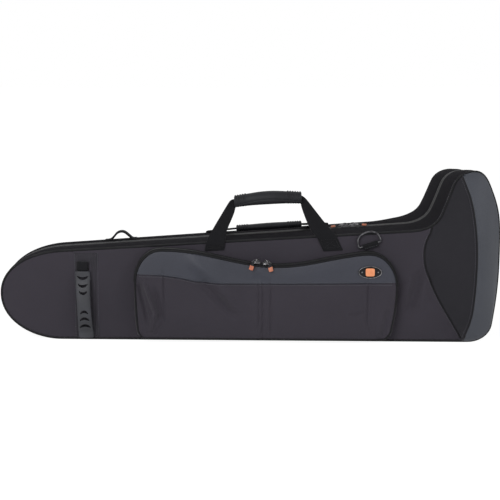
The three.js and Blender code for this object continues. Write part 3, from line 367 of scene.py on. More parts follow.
def finishPiece(name, mesh, paint, body, replaces=(), wall=0.0, corner=0.0):
    # the mesh as a painted piece. wall thickens a sheet inwards, corner rounds a solid's edges
    piece = linked(name, mesh)
    mesh.materials.append(paints[paint])
    smoothed(mesh)
    if wall:
        thick = piece.modifiers.new("wall", "SOLIDIFY")
        thick.thickness, thick.offset = wall / 1000, -1.0
    if corner:
        rounded(piece, corner, meshing["softAngle"])
    declare(piece, body, replaces)
    return piece


def gridQuads(countU, countV, loopU, loopV):
    # the corners of a grid's quads, as rows and columns and as numbers of its points
    i, j = np.meshgrid(np.arange(countU - (not loopU)), np.arange(countV - (not loopV)), indexing="ij")
    corners = [(i, j), (i + 1, j), (i + 1, j + 1), (i, j + 1)]
    return corners, np.stack([(a % countU) * countV + b % countV for a, b in corners], axis=-1).reshape(-1, 4)


def surface(name, points, paint, body, kind="sheet", replaces=(), out=None, wall=0.0):
    # points[u, v] in millimetres become a grid of quads. A ring is joined to itself both ways, a dome only
    # along v, with a point for each end, and a closed piece has its two ends filled. out says which way a
    # sheet faces, wall gives it its thickness
    loopU, loopV, ends = kind == "ring", kind != "sheet", kind == "closed"
    countU, countV = points.shape[:2]
    corners, quads = gridQuads(countU, countV, loopU, loopV)
    whole = np.concatenate([points, points[:1]], axis=0) if loopU else points
    whole = np.concatenate([whole, whole[:, :1]], axis=1) if loopV else whole
    alongU, alongV = runningLength(whole, 0), runningLength(whole, 1)
    uv = np.stack([np.stack([alongU[a], alongV[b]], axis=-1) for a, b in corners], axis=2).reshape(-1, 4, 2)
    places = points.reshape(-1, 3) / 1000
    faces = quads.tolist()
    if ends:
        faces += [list(range(countV)), list(range((countU - 1) * countV, countU * countV))[::-1]]
    a, b, c, d = (places[quads[:, k]] for k in range(4))
    if out is None:
        towards = (a * (np.cross(b, c) + np.cross(c, d))).sum()
    else:
        towards = (np.cross(c - a, d - b).sum(axis=0) * np.array(out, float)).sum()
    if towards < 0:
        faces = [face[::-1] for face in faces]
        uv = uv[:, ::-1]
    mesh = bpy.data.meshes.new(name)
    mesh.from_pydata(places.tolist(), [], faces)
    values = np.zeros((len(mesh.loops), 2), np.float32)
    values[: quads.size] = uv.reshape(-1, 2)
    mesh.uv_layers.new(name="UVMap").data.foreach_set("uv", values.ravel())
    mended(mesh, meshing["same"], outward=ends)
    return finishPiece(name, mesh, paint, body, replaces, wall)


def softCopy(node, name, paint, body, slot, corner):
    # the CAD solid with its corners rounded, as cloth over foam or moulded plastic has them. Its UV map is
    # x + y across and z + y up
    mesh = nodes[node].data.copy()
    mesh.materials.clear()
    mended(mesh, meshing["sameSolid"], flats=True)
    layer = mesh.uv_layers.active or mesh.uv_layers.new(name="UVMap")
    used = np.zeros(len(mesh.loops), np.int32)
    mesh.loops.foreach_get("vertex_index", used)
    places = verticesOf(mesh)[used]
    layer.data.foreach_set("uv", (places[:, [0, 2]] + places[:, [1, 1]]).ravel())
    return finishPiece(name, mesh, paint, body, (node,), corner=corner)


# outlines: nodes of (x, z, direction of travel in degrees), joined by smooth curves
outline = {"reach": 0.38, "steps": 60}
caseLine = {
    "top": [(-470, 88, 90), (-355, 171.5, 3.5), (305, 212, 3.5), (360, 243, 66), (381, 298, 69),
            (420, 324, 0), (455, 283, -68), (470, 170, -90)],
    "bottom": [(-470, 88, -90), (-355, 1.2, 0), (305, 1.2, 0), (415, 1.2, 0), (459, 34, 81), (470, 170, 90)],
    "count": 460,
}
pocketLine = {
    "top": [(-214, 115, 90), (-163, 177, 0), (3, 151, -10), (52, 147, 0), (186, 167, 9), (226, 171.5, 0),
            (278, 108, -90)],
    "bottom": [(-214, 115, -90), (-210, 26, -85), (-194, 6, 0), (248, 6, 0), (268, 26, 80), (278, 108, 90)],
    "count": 320,
}


def unit(vector):
    # a direction, or each row of an array of directions, made one long
    return np.asarray(vector, float) / np.linalg.norm(vector, axis=-1, keepdims=True)


def travel(path, closed=False):
    # the direction of travel at each point of a path
    return unit(np.roll(path, -1, axis=0) - np.roll(path, 1, axis=0) if closed else np.gradient(path, axis=0))


def rightOf(run):
    # the direction to the right of the direction of travel, in the plane of (x, z)
    return np.stack([run[:, 1], -run[:, 0]], axis=1)


def heading(angle):
    # the direction at an angle above the case's length
    return np.array([math.cos(math.radians(angle)), math.sin(math.radians(angle))])


def chain(stations):
    # cubic curve between neighbouring nodes, with handles that are a fixed share of their distance
    parts = []
    t = np.linspace(0, 1, outline["steps"] + 1)[:, None]
    for (x0, z0, a0), (x1, z1, a1) in zip(stations[:-1], stations[1:]):
        p0, p3 = np.array([x0, z0], float), np.array([x1, z1], float)
        reach = outline["reach"] * np.linalg.norm(p3 - p0)
        p1, p2 = p0 + reach * heading(a0), p3 - reach * heading(a1)
        curve = (1 - t) ** 3 * p0 + 3 * t * (1 - t) ** 2 * p1 + 3 * t * t * (1 - t) * p2 + t ** 3 * p3
        parts.append(curve[:-1])
    return np.concatenate(parts + [np.array([stations[-1][:2]], float)])


def evenly(line, count):
    # the same line with its points evenly spaced
    line = np.asarray(line, float)
    run = np.concatenate([[0.0], np.cumsum(np.linalg.norm(np.diff(line, axis=0), axis=1))])
    where = np.linspace(0, run[-1], count)
    return np.stack([np.interp(where, run, line[:, k]) for k in range(line.shape[1])], axis=1)


def smoothLine(points, count):
    # a rounded line through a few points: its corners are cut three times at a quarter of each chord
    line = np.asarray(points, float)
    for _ in range(3):
        near, far = 0.75 * line[:-1] + 0.25 * line[1:], 0.25 * line[:-1] + 0.75 * line[1:]
        cut = np.stack([near, far], axis=1).reshape(-1, line.shape[1])
        line = np.concatenate([line[:1], cut, line[-1:]])
    return evenly(line, count)


def outlineLoop(line):
    # the closed outline from its left tip over the top, the directions into it and its two chains
    top, bottom = chain(line["top"]), chain(line["bottom"])
    loop = evenly(np.concatenate([top, bottom[::-1][1:]]), line["count"] + 1)[:-1]
    return loop, rightOf(travel(loop, True)), top, bottom


caseLoop, caseIn, caseTop, caseBottom = outlineLoop(caseLine)
pocketLoop, pocketIn = outlineLoop(pocketLine)[:2]

# how deep the two shells are along the case, and how the bell swells
shell = {
    "half": 470, "frontEnd": 58, "frontBell": 119, "frontDeepest": 403, "rearEnd": 38, "rearNeck": 52,
    "rearBell": 110, "flare": (245, 345), "crownDrop": 15, "bellRise": 112, "ridge": 38, "rearRidge": 10,
    "neck": (-355, 305), "neckHeights": (171.5, 212), "fade": 0.55, "risePower": 1.3, "fallPower": 1.7,
}
# the bell's crest and the seam of its dark panel as (place, height) measured in the photo
crestLine = np.array([(403, 0), (405, 14), (415, 47), (418, 83), (420, 136), (420, 181), (417, 225),
                      (410, 272), (402, 295), (395, 318), (393, 324)], float)
seamLine = np.array([(404, 0), (400, 11), (379, 46), (360, 78), (344, 110), (331, 145), (329, 174),
                     (333, 193), (341, 209), (396, 324)], float)


def shareOf(x, start, end):
    # how far x lies on the way from start to end, zero to one
    return np.clip((x - start) / (end - start), 0, 1)


def frontDepth(x):
    # grows evenly from the left tip to its deepest place
    growth = shell["frontBell"] - shell["frontEnd"]
    return shell["frontEnd"] + growth * shareOf(x, -shell["half"], shell["frontDeepest"])


def rearDepth(x):
    # grows evenly along the neck, then flares as three times a square less two cubes
    low, high = shell["flare"]
    t = shareOf(x, low, high)
    neck = shell["rearEnd"] + (shell["rearNeck"] - shell["rearEnd"]) * shareOf(x, -shell["half"], low)
    return neck + (shell["rearBell"] - shell["rearNeck"]) * t * t * (3 - 2 * t)


def neckTop(x):
    # the neck's top, which rises evenly between its two heights
    low, high = shell["neckHeights"]
    return low + (high - low) * shareOf(x, *shell["neck"])


def local(x, y, z):
    # points from three coordinates of any matching shapes
    return np.stack(np.broadcast_arrays(np.asarray(x, float), y, z), axis=-1)


def onFront(x, z, out):
    # points at a distance from the lid's flat face
    return local(x, -(frontDepth(x) + out), z)


def sunk(points):
    # the bell's top lies lower the further back it is
    x, y, z = points[..., 0], points[..., 1], points[..., 2]
    share = np.maximum(0, (y + shell["frontBell"]) / (shell["frontBell"] + shell["rearBell"]))
    rise = np.maximum(0, z - neckTop(x)) / shell["bellRise"]
    return local(x, y, z - shell["crownDrop"] * share * rise)


def heightAt(line, x):
    # height of an outline chain above a place along the case
    return np.interp(x, np.maximum.accumulate(line[:, 0]), line[:, 1])


def swell(x, z, height):
    # the bell bulges from the seam of the dark panel to its crest and falls off to the right end.
    # It fades to nothing at the outline as a sine to the power 0.55
    low, high = heightAt(caseBottom, x), heightAt(caseTop, x)
    across = np.clip((z - low) / np.maximum(high - low, 1), 0, 1)
    crest = np.interp(z, crestLine[:, 1], crestLine[:, 0])
    start = np.minimum(np.interp(z, seamLine[:, 1], seamLine[:, 0]), crest - 4)
    rising = np.clip((x - start) / (crest - start), 0, 1) ** shell["risePower"]
    falling = 1 - np.clip((x - crest) / np.maximum(shell["half"] - crest, 1), 0, 1) ** shell["fallPower"]
    return height * np.sin(np.pi * across) ** shell["fade"] * np.where(x < crest, rising, falling)


shells = {"lid": (-1, frontDepth, shell["ridge"]), "rear": (1, rearDepth, shell["rearRidge"])}


def ringSurface(loop, into, name, section):
    # carries a section round an outline. A section point is (inset, share of depth, fixed distance)
    side, depth, ridge = shells[name]
    flats = [(loop + into * inset, share, fixed) for inset, share, fixed in section]
    rows = [sunk(local(flat[:, 0], side * (share * depth(flat[:, 0]) + fixed), flat[:, 1]))
            for flat, share, fixed in flats]
    return np.stack(rows, axis=1)


def cordSection(radius, inset, share, fixed, sides=14):
    # a circle about one point of a section
    angle = np.linspace(0, 2 * np.pi, sides, endpoint=False)
    return [(inset + radius * math.cos(a), share, fixed + radius * math.sin(a)) for a in angle]


def edgeDistance(x, z, loop):
    # distance from each point to every second point of an outline
    flat = np.stack([x.ravel(), z.ravel()], axis=1)
    gaps = np.sqrt(((flat[:, None, :] - loop[None, ::2, :]) ** 2).sum(axis=2)).min(axis=1)
    return gaps.reshape(x.shape)


def crowned(x, z, loop, sizes):
    # rises from the edge as one less an exponential, and rolls in beside it as a bell curve
    gap = edgeDistance(x, z, loop)
    risen = sizes["crown"] * (1 - np.exp(-gap / sizes["crownReach"]))
    return risen - sizes["roll"] * np.exp(-(gap / sizes["rollReach"]) ** 2)


def folds(x, z, lines):
    # soft ridges or creases: a bell curve across each line, fading at its two ends
    height = np.zeros_like(x)
    for x0, z0, x1, z1, width, tall in lines:
        dx, dz = x1 - x0, z1 - z0
        long = math.hypot(dx, dz)
        share = ((x - x0) * dx + (z - z0) * dz) / long ** 2
        off = ((x - x0) * dz - (z - z0) * dx) / long
        ends = np.clip(np.minimum(share, 1 - share) * 3.0 + 0.25, 0, 1)
        height += tall * np.exp(-(off / width) ** 2) * ends * ends * (3 - 2 * ends)
    return height


def patch(bottom, top, left, right):
    # Coons patch between four lines: the sum of both straight blends less the blend of the corners
    s = np.linspace(0, 1, len(bottom))[:, None, None]
    t = np.linspace(0, 1, len(left))[None, :, None]
    b, u, l, r = bottom[:, None], top[:, None], left[None], right[None]
    flatBlend = (1 - s) * (1 - t) * b[:1] + s * (1 - t) * b[-1:] + (1 - s) * t * u[:1] + s * t * u[-1:]
    return (1 - t) * b + t * u + (1 - s) * l + s * r - flatBlend


def between(first, second, count):
    # a patch between two lines whose ends are joined by straight lines
    low, high = (np.linspace(first[k], second[k], count) for k in (0, -1))
    return patch(low, high, first, second)


def part(loop, start, end, count):
    # a stretch of a closed loop between two indices, evenly spaced, also running backwards
    step = 1 if end >= start else -1
    return evenly(loop[np.arange(start, end + step, step) % len(loop)], count)


def tipOf(loop):
    # the loop's point that lies furthest to the right
    return int(np.argmax(loop[:, 0]))


def indexAt(loop, x, upper):
    # the loop's point nearest to a place along the case, on its upper or lower run
    ids = np.arange(0, tipOf(loop)) if upper else np.arange(tipOf(loop), len(loop))
    return int(ids[np.argmin(np.abs(loop[ids, 0] - x))])


def wholePanel(edge, wide, tall):
    # one patch from the left tip of an outline to its right tip
    tip = tipOf(edge)
    ends = (np.repeat(edge[k:k + 1], tall, axis=0) for k in (0, tip))
    return patch(part(edge, len(edge), tip, wide), part(edge, 0, tip, wide), *ends)


def toothBeat(count, shift=0.0):
    # one rise and fall for every tooth of a zip, as the size of a sine
    return np.abs(np.sin(np.arange(count) * math.pi / 4 + shift))[:, None]


# the two shells: cover, piping, zip tape with its coil, and face panels. The case is flat between the ends
# of its tape, and a tooth is (reach, height, ribbing)
cover = {
    "puff": 1.6, "zipEdge": 14.0, "faceEdge": 4.4, "piping": (2.45, 1.25, 1, -1.25),
    "fromZip": [(3.0, 0, 0.2), (1.5, 0, 0.2), (1.3, 0, 6.0), (1.3, 0, 12.4), (0.4, 0, 12.9), (-0.2, 0, 13.3)],
    "toInside": [(0.0, 1, -4.3), (1.0, 1, -3.6), (4.0, 1, -3.4), (8.0, 1, -4.0), (9.0, 1, -5.0),
                 (9.0, 0.5, 0.0), (9.0, 0, 2.0), (8.2, 0, 0.5)],
    "tape": [(1.1, 0, 0.25), (-0.15, 0, 0.4), (-0.1, 0, 12.2), (1.1, 0, 12.6)], "tapeEnds": (-355, 415),
    "teeth": [(0.2, 0.2, 0.0), (0.5, -0.1, 0.35), (1.6, -0.2, 0.4), (2.3, 0.1, 0.0)], "toothPoints": 4200,
}
face = {
    "inset": 1.8, "wall": 2.5, "crown": 2.2, "crownReach": 30, "roll": 2.4, "rollReach": 2.6,
    "seamEnds": (343, 402), "crestEnds": (397, 405), "rows": 70, "neckColumns": 220, "rearColumns": 260,
    "bellRows": 110, "bellColumns": 40,
}
creases = {
    "neck": [(326, 140, 298, 52, 7.0, -6.5), (342, 136, 320, 62, 9, 3.0), (306, 132, 286, 70, 8, 1.5),
             (385, 35, 372, 12, 6, -1.5), (-235, 150, -262, 40, 12, 0.8), (-420, 60, -400, 140, 22, 0.7),
             (255, 195, 330, 160, 14, -0.9), (280, 40, 330, 20, 9, 0.9)],
    "bell": [(352, 190, 372, 255, 10, -1.4), (360, 150, 392, 120, 16, 1.0)],
}


def buildShell(name):
    # the cover's section runs from the inner corner at the zip, out over the cloth, which is puffed as a sine
    # to the power 0.7, and back along the inside
    side = shells[name][0]
    puffed = [(-cover["puff"] * math.sin(math.pi * share) ** 0.7, share,
               cover["zipEdge"] * (1 - share) - cover["faceEdge"] * share)
              for share in np.linspace(0.06, 0.94, 9)]
    points = ringSurface(caseLoop, caseIn, name, cover["fromZip"] + puffed + cover["toInside"])
    # the cover cloth carries painted shade on the case's top
    surface(f"{name}Cover", points, "coverClothPaintedShade", name, "ring", (f"{name}_frame",))
    points = ringSurface(caseLoop, caseIn, name, cordSection(*cover["piping"]))
    surface(f"{name}Piping", points, "piping", name, "ring", (f"{name}_piping",))

    # the zip's tape follows the case over the top
    start, end = (indexAt(caseLoop, x, False) for x in cover["tapeEnds"])
    ids = np.arange(start - len(caseLoop), end + 1)
    tape = ringSurface(caseLoop[ids], caseIn[ids], name, cover["tape"])
    surface(f"{name}ZipTape", tape, "zipTape", name, "closed", (f"{name}_zip_tape",))

    # a ribbed half of the coil, whose height rises and falls once for every tooth
    line = evenly(caseLoop[ids], cover["toothPoints"])
    into = rightOf(travel(line))
    beat = toothBeat(len(line), 0 if side < 0 else math.pi / 2)
    rows = []
    for reach, height, ribbed in cover["teeth"]:
        flat = line + into * (height - ribbed * beat)
        rows.append(sunk(local(flat[:, 0], side * reach, flat[:, 1])))
    surface(f"{name}ZipCoil", np.stack(rows, axis=1), "coil", name, out=(0, 0, 1))


def facePoints(flat, name, creaseLines):
    # the shell's depth, with the bell's swelling, the crown and the creases
    side, depth, ridge = shells[name]
    x, z = flat[..., 0], flat[..., 1]
    far = depth(x) + swell(x, z, ridge) + crowned(x, z, caseLoop, face) + folds(x, z, creaseLines)
    return sunk(local(x, side * far, z))


def buildFace(name, flat, paint, shellName, creaseLines, out):
    # a panel of a shell's face from flat points (x, z)
    surface(name, facePoints(flat, shellName, creaseLines), paint, shellName, "sheet",
            (f"{shellName}_panel",), out, face["wall"])


def buildFaces():
    # the lid's face is three panels between its left tip, the seam, the crest and its right end
    edge = caseLoop + caseIn * face["inset"]
    (upSeam, upCrest), (lowSeam, lowCrest) = (
        [indexAt(caseLoop, face[key][k], upper) for key in ("seamEnds", "crestEnds")]
        for k, upper in ((0, True), (1, False)))
    seam = smoothLine([edge[lowSeam], *seamLine[1:-1], edge[upSeam]], face["rows"])
    crest = smoothLine([edge[lowCrest], *crestLine[1:-1], edge[upCrest]], face["rows"])

    # the neck's panel runs from the left tip to the seam
    top = part(edge, 0, upSeam, face["neckColumns"])
    bottom = part(edge, len(edge), lowSeam, face["neckColumns"])
    flat = patch(bottom, top, np.repeat(edge[:1], face["rows"], axis=0), seam)
    buildFace("lidNeckPanel", flat, "nylon", "lid", creases["neck"], (0, -1, 0))

    # the dark panel lies between the seam and the crest and ends in points below and above
    seamUp = evenly(np.concatenate([seam, edge[upSeam:upCrest + 1]]), face["bellRows"])
    crestUp = evenly(crest, face["bellRows"])
    flat = between(seamUp, crestUp, face["bellColumns"])
    buildFace("bellPanel", flat, "bellCloth", "lid", creases["bell"], (-0.3, -1, 0))

    # the pale strip runs from the crest to the right end
    endLine = evenly(edge[np.arange(lowCrest, upCrest - 1, -1)], face["bellRows"])
    flat = between(crestUp, endLine, face["bellColumns"])
    buildFace("bellStrip", flat, "stripCloth", "lid", [], (0.3, -1, 0))

    # the hidden back is one panel with the same rim and a shallow swelling behind the bell
    flat = wholePanel(edge, face["rearColumns"], face["rows"])
    buildFace("rearPanel", flat, "nylon", "rear", [], (0, 1, 0))
    return seamUp, crestUp


buildShell("lid")
buildShell("rear")
seamUp, crestUp = buildFaces()
print("shell covers made")

# the bellows pocket. A fold is (x, z, x, z, width, height)
pocket = {
    "low": 6, "left": -214, "right": 278, "face": 21.5, "swell": 7, "seamDip": 1.0, "seamReach": 1.4,
    "crown": 2.6, "crownReach": 16, "roll": 2.2, "rollReach": 2.4, "inset": 2.4, "wall": 2.0,
    "piping": (1.7, 1.5, 1, 21.9), "rearPiping": (1.1, -1.6, 1, 5.0, 8),
    "bellows": 3.0, "bellowsDeep": 19.9, "bellowsInside": [(2.5, 20.1), (2.5, 0.4)],
    "bellowsFade": (118, 58), "bellowsFoot": 14, "bellowsFootShare": 0.35, "bellowsShift": 0.5,
    "seam": [(-215, 128.5), (-162, 127.5), (-128, 123), (-94, 115), (-31, 112.5), (25, 112.5), (80, 113),
             (204, 114.5), (279, 115)],
    "columns": 300, "bandRows": 24, "wallRows": 60, "toothPoints": 1500,
    "tape": [(-1.6, 1, 5.5), (-1.7, 1, 12.4), (-1.7, 1, 19.6), (0.3, 1, 19.8), (0.3, 1, 5.3)],
    "teeth": [(9.8, -1.5, 0), (10.2, -2.2, 0.5), (12.4, -2.5, 0.6), (14.6, -2.2, 0.5), (15.0, -1.5, 0)],
    "folds": [
        (-159.5, 140, -159.5, 36, 1.4, -2.6), (-159.5, 46, -176, 14, 1.4, -2.2),
        (-197, 120, -172, 48, 4.2, 6.2), (-172, 62, -186, 20, 4.2, 5.4),
        (-208, 120, -188, 36, 4.2, -5.2), (-176, 104, -163, 40, 4.5, -4.2),
        (19, 122, 18, 20, 1.3, -2.4), (26, 124, 25, -10, 1.3, -2.6), (41.5, 122, 40, 10, 1.4, -2.4),
        (33, 116, 33, 20, 4, 1.4), (223, 124, 220, 30, 1.5, -2.8), (220, 48, 229, 10, 1.3, -1.5),
        (229, 110, 228, 40, 1.1, -0.8), (230, 22, 250, 4, 4, -1.6), (-112, 160, -8, 76, 12, 4.6),
        (-96, 122, -20, 48, 8, -5.2), (-60, 108, -18, 60, 7, 3.2), (-140, 60, -60, 24, 16, 1.8),
        (60, 92, 200, 96, 16, 2.0), (70, 40, 210, 52, 20, -1.8), (186, 52, 217, 60, 4, -1.8),
        (262, 70, 250, 8, 5, -3.4), (250, 60, 240, 8, 6, 2.0),
        (-118, 168, -40, 122, 13, 1.8), (-60, 150, 10, 112, 14, -1.2), (8, 128, 44, 110, 9, -2.0),
        (60, 128, 190, 150, 15, 0.8),
    ],
}


def pocketFace(flat):
    # the wall bulges as a sine across and along, rolls off at its rim and has the photo's folds
    x, z = flat[..., 0], flat[..., 1]
    seamZ = np.interp(x, *np.array(pocket["seam"]).T)
    across = np.clip((z - pocket["low"]) / (seamZ - pocket["low"]), 0, 1)
    long = np.sin(np.pi * shareOf(x, pocket["left"], pocket["right"])) ** 0.7
    swollen = pocket["swell"] * np.sin(np.pi * across) * long
    dip = pocket["seamDip"] * np.exp(-(np.abs(z - seamZ) / pocket["seamReach"]) ** 2)
    out = pocket["face"] + crowned(x, z, pocketLoop, pocket) + swollen - dip + folds(x, z, pocket["folds"])
    return onFront(x, z, out)


def buildPocket():
    # the pocket's face is a band above the seam and a wall below it, each from its rim to the seam
    edge = pocketLoop + pocketIn * pocket["inset"]
    tip = tipOf(edge)
    # the seam's ends are the rim's points at the heights of its first and last node
    leftEnd, rightEnd = (
        int(np.argmin(np.abs(edge[:, 1] - height) + 1000.0 * (edge[:, 0] * side < 0)))
        for height, side in ((pocket["seam"][0][1], -1), (pocket["seam"][-1][1], 1)))
    seam = smoothLine([edge[leftEnd], *pocket["seam"][1:-1], edge[rightEnd]], pocket["columns"])
    rim = evenly(edge[leftEnd:rightEnd + 1], pocket["columns"])
    flat = seam[:, None] + (rim - seam)[:, None] * np.linspace(0, 1, pocket["bandRows"])[None, :, None]
    surface("pocketBand", pocketFace(flat), "leatherette", "pocket_front", "sheet",
            ("pocket_band",), (0, -1, 0), pocket["wall"])
    rim = part(edge, len(edge) + leftEnd, rightEnd, pocket["columns"])
    flat = rim[:, None] + (seam - rim)[:, None] * np.linspace(0, 1, pocket["wallRows"])[None, :, None]
    surface("pocketWall", pocketFace(flat), "nylon", "pocket_front", "sheet", ("pocket_front",),
            (0, -1, 0), pocket["wall"])
    cord = ringSurface(pocketLoop, pocketIn, "lid", cordSection(*pocket["piping"]))
    surface("pocketPiping", cord, "piping", "pocket_front", "ring", ("pocket_piping",))

    # the bellows fold twice at the sides and below, and lie flat under the zip
    height = pocketLoop[:, 1]
    low = shareOf(height, *pocket["bellowsFade"]) ** 0.7
    low = low * np.where(height < pocket["bellowsFoot"], pocket["bellowsFootShare"], 1.0)
    rows = []
    for k in np.linspace(0, 1, 17):
        bulge = pocket["bellows"] * abs(math.sin(2 * math.pi * k)) * low
        flat = pocketLoop - pocketIn * (bulge - pocket["bellowsShift"])[:, None]
        rows.append(onFront(*flat.T, 0.2 + pocket["bellowsDeep"] * k))
    for inset, out in pocket["bellowsInside"]:
        rows.append(onFront(*(pocketLoop + pocketIn * inset).T, out))
    surface("pocketBellows", np.stack(rows, axis=1), "gusset", "lid", "ring", ("pocket_gusset",))

    # zip along the top: a tape and a ribbed coil, with a second thin piping behind it
    over, overIn = pocketLoop[:tip + 1], pocketIn[:tip + 1]
    tape = ringSurface(over, overIn, "lid", pocket["tape"])
    surface("pocketZipTape", tape, "zipTape", "lid", "closed", ("pocket_zip_tape",))
    line = evenly(over, pocket["toothPoints"])
    into, beat = rightOf(travel(line)), toothBeat(len(line))
    rows = []
    for out, inset, ribbed in pocket["teeth"]:
        flat = line + into * (inset + ribbed * beat)
        rows.append(onFront(*flat.T, out))
    surface("pocketZipCoil", np.stack(rows, axis=1), "coil", "lid", out=(0, 0, 1))
    trim = ringSurface(over, overIn, "lid", cordSection(*pocket["rearPiping"]))
    surface("pocketRearPiping", trim, "piping", "lid", "closed")


buildPocket()
print("pocket made")

# frames of reference taken from the joints
joints = {joint["name"]: joint for joint in frame["joints"]}
upwards = np.array([0, 0, 1.0])


def hinge(name):
    # a hinge's place in millimetres and its direction
    return np.array(joints[name]["pos_m"]) * 1000, unit(joints[name]["axis"])


def basis(origin, x, y, z):
    # turns local points into places in the frame
    return lambda points: origin + points[..., :1] * x + points[..., 1:2] * y + points[..., 2:] * z


def leaned(x, lean):
    # the directions back and up, square to x, tipped forward by an angle
    upright = unit(upwards - x * x[2])
    turned = math.radians(lean)
    z = math.cos(turned) * upright - math.sin(turned) * np.cross(upright, x)
    return np.cross(z, x), z


def circle(sides):
    # the cosines and sines of evenly spaced angles
    angle = np.linspace(0, 2 * np.pi, sides, endpoint=False)
    return np.cos(angle), np.sin(angle)


def squared(wave, power):
    # a cosine or sine to a power below one, which turns an ellipse towards a rectangle
    return np.sign(wave) * np.abs(wave) ** power


def denseEnds(length, near, count):
    # places along a length, close together at both ends. near lists the first distances from an end
    near = np.array(near)
    return np.concatenate([near[:-1], np.linspace(near[-1], length - near[-1], count), length - near[-2::-1]])


def tube(path, radius, normal, closed=False, sides=16):
    # a round wire about a path that lies in a plane with the given normal
    across = np.cross(travel(path, closed), normal)
    c, s = circle(sides)
    return path[:, None] + radius * (c[:, None] * across[:, None] + s[:, None] * np.asarray(normal))


# the upper half of a strap's section: (side, shift inwards in millimetres, share of the thickness)
strapTop = [(-1, 0, 0.0), (-1, 0.325, 0.34), (-1, 1.3, 0.5), (-0.5, 0, 0.5), (0, 0, 0.5), (0.5, 0, 0.5),
            (1, -1.3, 0.5), (1, -0.325, 0.34), (1, 0, 0.0)]
strapSection = strapTop + [(side, shift, -high) for side, shift, high in strapTop[-2:0:-1]]


def strap(left, right, thickness):
    # webbing between two edge lines, with rounded edges
    across, middle = right - left, (left + right) / 2
    half = np.linalg.norm(across, axis=1)[:, None] / 2
    out = unit(np.cross(across, np.gradient(middle, axis=0)))
    rows = [middle + unit(across) * (side * half + shift) + out * (high * thickness)
            for side, shift, high in strapSection]
    return np.stack(rows, axis=1)


# a stitch's shape is (share of its length, share of its radius)
stitch = {
    "pitch": 3.6, "length": 2.5, "sides": 6,
    "shape": [(-0.5, 0.3), (-0.38, 0.8), (0.0, 1.0), (0.38, 0.8), (0.5, 0.3)],
}


def stitches(name, path, normal, body, radius=0.36, paint="thread"):
    # short threads that follow a path: each is a small capsule, thickest in its middle
    count = max(int(np.linalg.norm(np.diff(path, axis=0), axis=1).sum() / stitch["pitch"]), 2)
    middle = evenly(path, 2 * count + 1)[1::2]
    run = travel(middle)
    side = unit(np.cross(run, normal))
    c, s = (wave[:, None] for wave in circle(stitch["sides"]))
    ring = c * side[:, None, None] + s * np.cross(side, run)[:, None, None]
    far, thick = np.array(stitch["shape"]).T[:, None, :, None, None]
    rings = middle[:, None, None] + run[:, None, None] * far * stitch["length"] + radius * thick * ring
    steps, rim = len(stitch["shape"]), np.arange(stitch["sides"])
    shift = (np.arange(count) * steps * len(rim))[:, None, None]
    caps = np.array([rim[::-1], rim + (steps - 1) * len(rim)])
    faces = (gridQuads(steps, len(rim), False, True)[1] + shift).reshape(-1, 4).tolist()
    faces += (caps + shift).reshape(-1, len(rim)).tolist()
    mesh = bpy.data.meshes.new(name)
    mesh.from_pydata((rings.reshape(-1, 3) / 1000).tolist(), [], faces)
    mended(mesh, outward=True)
    mesh.uv_layers.new(name="UVMap")
    return finishPiece(name, mesh, paint, body)


# carrying handles: ribbed grips and webbing that turns at the sewn-down feet. The edges of a leg are shares
# of start and rise. A foot is (place along the handle, drift, length, top of its sewn square), and a drop is
# (depth below the hinge line, distance from the shell)
handle = {
    "start": 40, "grip": 126, "rise": 74, "arch": 4, "high": 25, "deep": 27, "rearDeep": 13, "thickness": 3,
    "near": (0.0, 0.15, 0.5, 1.0, 1.6), "slim": 0.86, "rounding": 0.12, "rib": 1.6, "ribPitch": 4.6,
    "ribs": (5, 6), "lowRib": 0.25, "seamLow": 0.62, "seamRise": 0.42, "seamDeep": 0.09, "seamWide": 0.07,
    "width": 37, "rearRise": 11.7, "rearLift": 3.0, "turn": (-5, 8), "sewnHalf": 14, "sewnLow": 7,
    "edges": {
        "left": ([(-0.46, 0), (-0.33, 0.15), (0.65, 0.93), (0.86, 1.08), (1.3, 1.05)],
                 [(0.45, 0), (0.5, 0.22), (0.98, 0.72), (1.05, 0.9), (1.3, 0.95)]),
        "right": ([(-0.49, 0), (-0.76, 0.19), (-1.08, 0.72), (-1.12, 0.9), (-1.3, 0.95)],
                  [(0.48, 0), (0.05, 0.27), (-0.5, 0.7), (-0.98, 1.08), (-1.3, 1.05)]),
    },
    "feet": {"left": (0, -2, 16, 12), "right": (208, 13, 29, 23)},
    "drops": [(9, 1.8), (5, 3.0)], "out": (1.8, 3.0), "lastDrop": 1.8, "threadOut": 3.25, "overPiping": 1.2,
}


